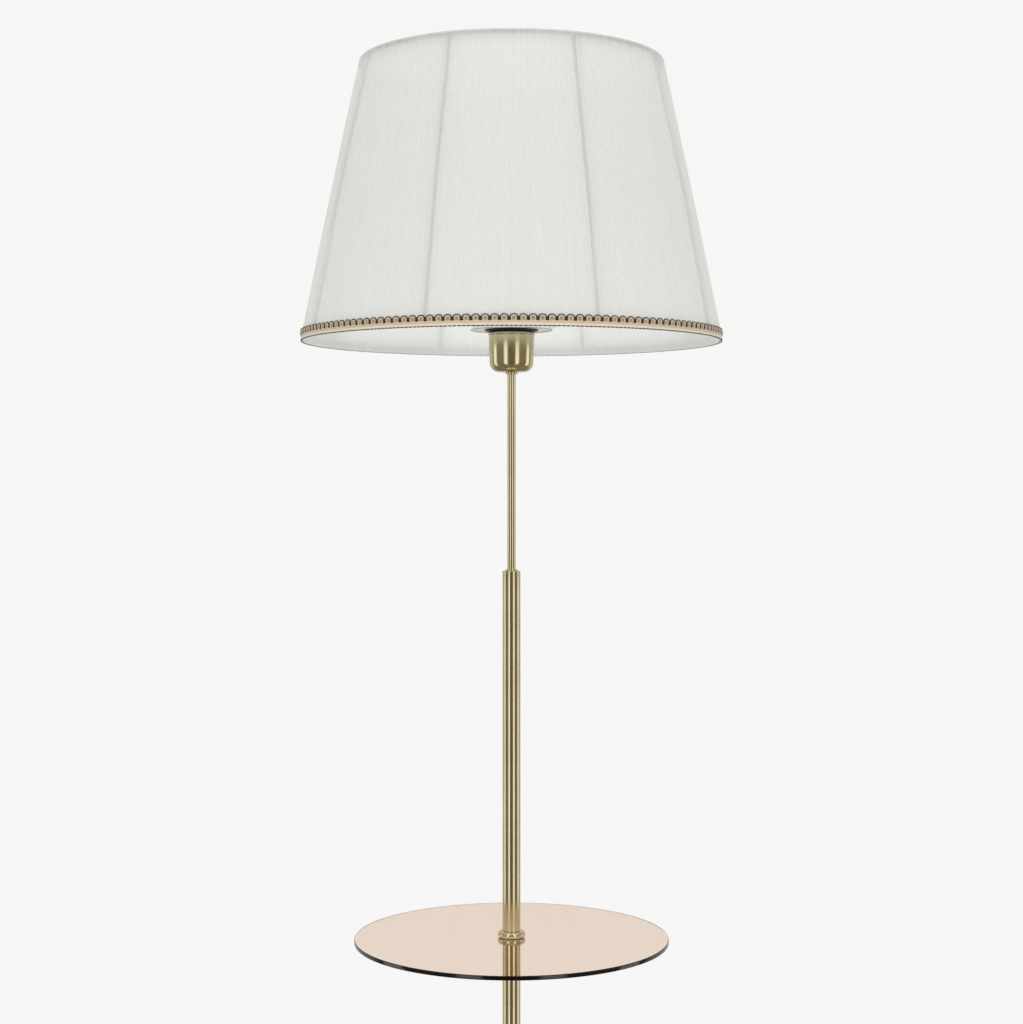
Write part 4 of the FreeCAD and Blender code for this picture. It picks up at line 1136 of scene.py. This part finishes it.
class LAMP_OT_braid(bpy.types.Operator):
    """Makes the trimming: woven band, yarn loops, the brown cord over them and the stitched edge."""

    bl_idname = "lamp.braid"
    bl_label = "Braid"
    wefts = 640  # threads across the woven strips, all round

    def execute(self, context):
        s, size = context.scene.lamp_braid, shade_sizes()
        low, self.inner = size["low"], size["wide"] + 0.05
        self.reach, self.band_top = self.inner + 1.05, low + s.band_height / MM
        yarn, cord, heart = s.yarn_radius / MM, s.cord_radius / MM, s.heart_radius / MM
        centre, foot = self.band_top + 1.5, self.band_top - 0.6
        wide, tall = s.loop_width / MM / 2, size["band"] - 2 * cord - centre
        self.band("braid_band", "braid", low + 2.8, self.band_top)
        self.band("braid_band_edge", "edge_braid", low + 0.4, low + 2.9)
        self.ground(self.band_top, centre + 0.55 * tall)
        path = self.arch(wide - yarn, tall - yarn, centre, foot, wide - yarn - 0.4, 11)
        self.row("braid_loops", "braid", path, s.loops, 0.15, yarn, 8)
        # The hearts' darker yarn is painted shade in the loops' hollows.
        path = self.arch(0.6, 0.75, centre, foot, 0.45, 7)
        self.row("braid_hearts", "tan_braid", path, s.loops, -0.1, heart, 6)
        path = self.arch(wide + 0.9 * cord, tall + cord, centre, self.band_top - 0.1, wide + 0.1, 13)
        self.row("braid_outline", "dark_braid", path, s.loops, 0.2, cord, 7, 0.5, centre + 0.8 * tall)
        self.edge(low + 0.42, s)
        return {"FINISHED"}

    def arch(self, wide, tall, centre, foot, spread, steps):
        """Arch of (along, height): a leg up from (-spread, foot), half a squarish ellipse, and a leg down."""
        a = np.linspace(-math.pi / 2, math.pi / 2, steps)
        up = np.array([0.0, 0.5])
        leg = np.stack([-spread + (spread - wide) * up, foot + (centre - foot) * up], 1)
        arc = np.stack([wide * np.sign(a) * np.abs(np.sin(a)) ** 0.8, centre + tall * np.cos(a) ** 0.8], 1)
        return np.concatenate([leg, arc, leg[::-1] * [-1, 1]])

    def row(self, name, finish, path, count, lift, thick, sides, foot=-0.2, full=None):
        """Arches side by side round the shade, lift above the others. Their feet lie 0.4 deeper.

        Below the height full, or else a little above the band, the yarn grows thicker by the share foot.
        """
        pitch = TURN * self.reach / count
        along = (np.arange(count)[:, None] * pitch + path[:, 0]).ravel()
        height = np.tile(path[:, 1], count)
        down = np.clip(((self.band_top + 0.9 if full is None else full) - height) / 1.4, 0, 1)
        sunk = 0.4 * np.clip((self.band_top + 0.6 - height) / 1.2, 0, 1)
        angle = along / pitch * TURN / count
        radius, thick = self.reach + lift - sunk, thick * (1 + foot * down)
        self.round_tube(name, finish, angle, radius, height, thick, sides)

    def woven(self, name, line, finish, face, relief):
        """Strip turned from an outline, with relief(angle, height) added where its radius is past face."""

        def ripple(a, r, z):
            return np.where(r > face, relief(a, z), 0.0)

        piece = turned(name, line, 4 * self.wefts, ripple=ripple, sharp=80.0)
        dress(piece, finish, "shade", "shade_braid")

    def ground(self, low, top):
        """Dark strip behind the loops, in fine upright ribs: partly brown yarn, partly painted shade in the
        hollows.
        """
        inner, foot = self.inner, low - 0.6
        back, front = inner + 0.1, inner + 0.7
        corners = [(back, foot), (front, foot), (front + 0.05, top - 0.5), (inner + 0.5, top), (back, top)]

        def ribs(a, z):
            return 0.14 * np.cos(self.wefts * a)

        self.woven("braid_ground", np.array(corners), "dark_braid", inner + 0.4, ribs)

    def band(self, name, finish, low, top):
        """Half of the woven band: two ridges along it, which the weft breaks into alternating floats."""
        back, middle, face, foot = self.inner, self.inner + 0.7, self.inner + 1.2, low + 0.1
        front = [(face, z) for z in np.linspace(foot, top, 11)]
        line = np.array([*front, (middle, top + 0.2), (back, top), (back, foot), (middle, low)])

        def weave(a, z):
            at = np.clip((z - foot) / (top - foot), 0, 1) * 2
            float_side = np.where(np.floor(at) % 2 > 0, 0.0, math.pi)
            return np.abs(np.sin(math.pi * at)) * (0.24 + 0.09 * np.cos(self.wefts * a + float_side))

        self.woven(name, line, finish, face - 0.01, weave)

    def edge(self, height, s):
        """Dark stitched edge: a thin cord that swells at each stitch."""
        steps = 12
        t = np.arange(s.stitches * steps) / steps
        thick = s.edge_radius / MM * (0.2 + 0.9 * np.abs(np.sin(math.pi * t)) ** 0.7)
        angle, radius = t * TURN / s.stitches, self.reach + 0.05
        self.round_tube("braid_edge", "dark_braid", angle, radius, height, thick, 6)

    def round_tube(self, name, finish, angle, radius, height, thick, sides):
        """Tube along the closed path (radius cos angle, radius sin angle, height)."""
        centre = np.stack([radius * np.cos(angle), radius * np.sin(angle), height + 0 * angle], 1)
        outward = np.stack([np.cos(angle), np.sin(angle), 0 * angle], 1)
        points = tube_points(centre, outward, thick, sides)
        dress(surface(name, points * MM, flip=True, sharp=80.0), finish, "shade", "shade_braid")


# ---------------------------------------------------------------- inner pieces and stage


KEPT_NODES = {
    "zinc_steel": (
        "base_stud base_washer base_nut lower_tube_foot_plug lower_tube_head_plug table_stud "
        "middle_tube_foot_plug holder_nipple cup_nut terminal_block_screws holder_terminal_screws"
    ),
    "cast_iron": "base_ballast",
    "black_plastic": "holder_dome",
    "clear_plastic": "terminal_block table_washer_lower table_washer_upper table_bush",
    "ceramic": "holder_insert",
    "contact_brass": "holder_shell centre_contact",
    "brown_insulation": "live_wire",
    "blue_insulation": "neutral_wire",
}


class LAMP_OT_inner(bpy.types.Operator):
    """Gives the CAD pieces that stay, inside the lamp, their finishes."""

    bl_idname = "lamp.inner"
    bl_label = "Inner pieces"

    def execute(self, context):
        for finish, nodes in KEPT_NODES.items():
            for node in nodes.split():
                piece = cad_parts[node]
                if not piece.material_slots:
                    piece.data.materials.append(None)
                for slot in piece.material_slots:
                    slot.material = finish_for(finish)
        return {"FINISHED"}


DAYLIGHT, DUSK = (1.0, 1.0, 0.995, 1), (1.0, 0.9, 0.68, 1)
# Tall softboxes that shiny pieces mirror: degrees from straight ahead, half width, brightness and the share
# of it that is left higher up.
SOFTBOXES_SEEN = ((30, 6, 1.65, 1.0), (94, 7, 1.6, 0.3))


class LAMP_OT_stage(bpy.types.Operator):
    """Makes the floor, the light and the camera."""

    bl_idname = "lamp.stage"
    bl_label = "Stage"

    def execute(self, context):
        s = context.scene.lamp_stage
        self.floor(s)
        self.sky(s)
        for name, place, size, power in (
            ("left", (-1.5, -2.3, 0.95), (0.9, 2.2), 1.0),
            ("right", (1.5, -2.3, 0.95), (0.9, 2.2), 1.0),
            ("behind", (0.0, 2.4, 1.2), (2.6, 2.0), 1.1),
            ("above", (0.0, 0.3, 3.2), (2.4, 2.4), 1.1),
        ):
            self.softbox("softbox_" + name, place, size, s.key * power)
        self.camera(context)
        context.scene.view_settings.view_transform = "Standard"
        return {"FINISHED"}

    def floor(self, s):
        """Pale floor that shows shadows near the lamp and melts into the backdrop further out."""
        side = np.linspace(-12.0, 12.0, 13)
        x, y = np.meshgrid(side, side, indexing="ij")
        floor = surface("floor", np.stack([x, y, 0 * x], -1), wrap_u=False, wrap_v=False)
        material = bpy.data.materials.new("floor")
        f = Finish(material)
        here = f.add("ShaderNodeTexCoord").outputs["Object"]
        distance = f.add("ShaderNodeVectorMath", {0: here}, operation="LENGTH").outputs["Value"]
        grain = f.noise(f.place(), 900.0, 2.0)
        matt = f.principled(rgb((0.87, 0.87, 0.865)), f.ramp(grain, 0.3, 0.7, 0.8, 0.9))
        glow = f.add("ShaderNodeEmission", {"Color": DAYLIGHT, "Strength": s.backdrop}).outputs[0]
        clear = f.add("ShaderNodeBsdfTransparent").outputs[0]
        seen, mirrored = f.seen_and_mirrored()
        melted = f.math("MULTIPLY", seen, f.ramp(distance, 0.5, 2.2, 0.35, 1.0))
        f.finish(f.mix(mirrored, f.mix(melted, matt, glow), clear))
        floor.data.materials.append(material)

    def sky(self, s):
        """Light from all sides.

        Shiny pieces see a studio: a dark room ahead of the lamp, where the camera stands, two pairs of tall
        softboxes, a pale wall behind, a dim floor and a bright ceiling.
        """
        world = bpy.data.worlds.new("studio")
        bpy.context.scene.world = world
        f = Finish(world, "ShaderNodeOutputWorld")
        way = f.add("ShaderNodeSeparateXYZ", {0: f.add("ShaderNodeTexCoord").outputs["Generated"]}).outputs
        angle = f.math("ARCTAN2", way[0], f.math("MULTIPLY", way[1], -1.0))
        side, up = f.math("ABSOLUTE", angle, 0.0), way[2]

        def by_side(low, high, to_low, to_high):
            return f.ramp(side, math.radians(low), math.radians(high), to_low, to_high)

        level = f.math("ADD", f.ramp(up, 0.025, 0.055, 0.175, 0.39), by_side(12, 24, 0.0, 0.1))
        for middle, half, bright, above in SOFTBOXES_SEEN:
            away = f.math("ABSOLUTE", f.math("SUBTRACT", side, math.radians(middle)), 0.0)
            box = f.ramp(away, math.radians(half), math.radians(half + 7), bright, 0.0)
            level = f.math("MAXIMUM", level, f.math("MULTIPLY", box, f.ramp(up, 0.08, 0.25, 1.0, above)))
        level = f.math("MAXIMUM", level, by_side(104, 120, 0.0, 0.72))
        down = f.ramp(f.math("MULTIPLY", up, -1.0), 0.3, 0.62, 0.0, 0.95)
        level = f.add("ShaderNodeMix", {0: down, 2: level, 3: 0.28}).outputs[0]
        level = f.math("MAXIMUM", level, f.ramp(up, 0.75, 0.95, 0.0, 1.3))
        seen, shiny = f.seen_and_mirrored()
        soft = f.math("MULTIPLY", f.math("SUBTRACT", 1.0, f.math("MAXIMUM", seen, shiny)), s.sky)
        shown = f.math("ADD", f.math("MULTIPLY", seen, s.backdrop), f.math("MULTIPLY", shiny, level))
        pale = f.math("MAXIMUM", f.ramp(level, 0.15, 0.9), f.math("SUBTRACT", 1.0, shiny))
        tone = f.blend(pale, DUSK, DAYLIGHT)
        back = f.add("ShaderNodeBackground", {"Color": tone, "Strength": f.math("ADD", shown, soft)})
        f.finish(back.outputs[0])

    def softbox(self, name, place, size, power):
        """Area light aimed at the lamp's middle. Shiny pieces mirror the studio's own softboxes instead."""
        lamp = bpy.data.lights.new(name, "AREA")
        lamp.shape, lamp.size, lamp.size_y, lamp.energy = "RECTANGLE", size[0], size[1], power
        light = bpy.data.objects.new(name, lamp)
        light.location = place
        lamp_middle = 1.0
        x, y, z = place[0], place[1], place[2] - lamp_middle
        light.rotation_euler = (math.atan2(math.hypot(x, y), z), 0.0, math.atan2(x, -y))
        light.visible_glossy = light.visible_camera = light.visible_transmission = False
        bpy.context.scene.collection.objects.link(light)

    def camera(self, context):
        """Level camera in front of the lamp, a little above the cap."""
        data = bpy.data.cameras.new("camera")
        data.lens, data.sensor_width, data.sensor_fit = 68.2, 36.0, "AUTO"
        data.shift_y = -0.0293
        data.clip_start, data.clip_end = 0.05, 60.0
        camera = bpy.data.objects.new("camera", data)
        camera.location = (0.0, -1.855, 1.0994)
        camera.rotation_euler = (math.pi / 2, 0.0, 0.0)
        context.scene.collection.objects.link(camera)
        context.scene.camera = camera


# ---------------------------------------------------------------- add-on


OPERATORS = (
    LAMP_OT_stage,
    LAMP_OT_base,
    LAMP_OT_pole,
    LAMP_OT_table,
    LAMP_OT_holder,
    LAMP_OT_bulb,
    LAMP_OT_shade_frame,
    LAMP_OT_cloth,
    LAMP_OT_braid,
    LAMP_OT_inner,
)
SETTINGS = {
    "lamp_colours": LampColours,
    "lamp_shade": LampShade,
    "lamp_braid": LampBraid,
    "lamp_stage": LampStage,
}


class LAMP_PT_panel(bpy.types.Panel):
    """Lists the lamp's settings and the operators that make its pieces."""

    bl_idname = "LAMP_PT_panel"
    bl_label = "Floor lamp"
    bl_space_type = "VIEW_3D"
    bl_region_type = "UI"
    bl_category = "Lamp"

    def draw(self, context):
        for group, kind in SETTINGS.items():
            box = self.layout.box()
            for name in kind.__annotations__:
                box.prop(getattr(context.scene, group), name)
        for operator in OPERATORS:
            self.layout.operator(operator.bl_idname)


def register():
    """Registers the classes and puts their settings on the scene."""
    for kind in (*SETTINGS.values(), *OPERATORS, LAMP_PT_panel):
        bpy.utils.register_class(kind)
    for group, kind in SETTINGS.items():
        setattr(bpy.types.Scene, group, bpy.props.PointerProperty(type=kind))


def unregister():
    """Takes the settings off the scene and the classes out again."""
    for group in SETTINGS:
        delattr(bpy.types.Scene, group)
    for kind in (LAMP_PT_panel, *OPERATORS[::-1], *SETTINGS.values()):
        bpy.utils.unregister_class(kind)


def main():
    """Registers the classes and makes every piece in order."""
    register()
    for operator in OPERATORS:
        name = operator.bl_idname.split(".")[1]
        getattr(bpy.ops.lamp, name)()


if __name__ == "__main__":
    main()
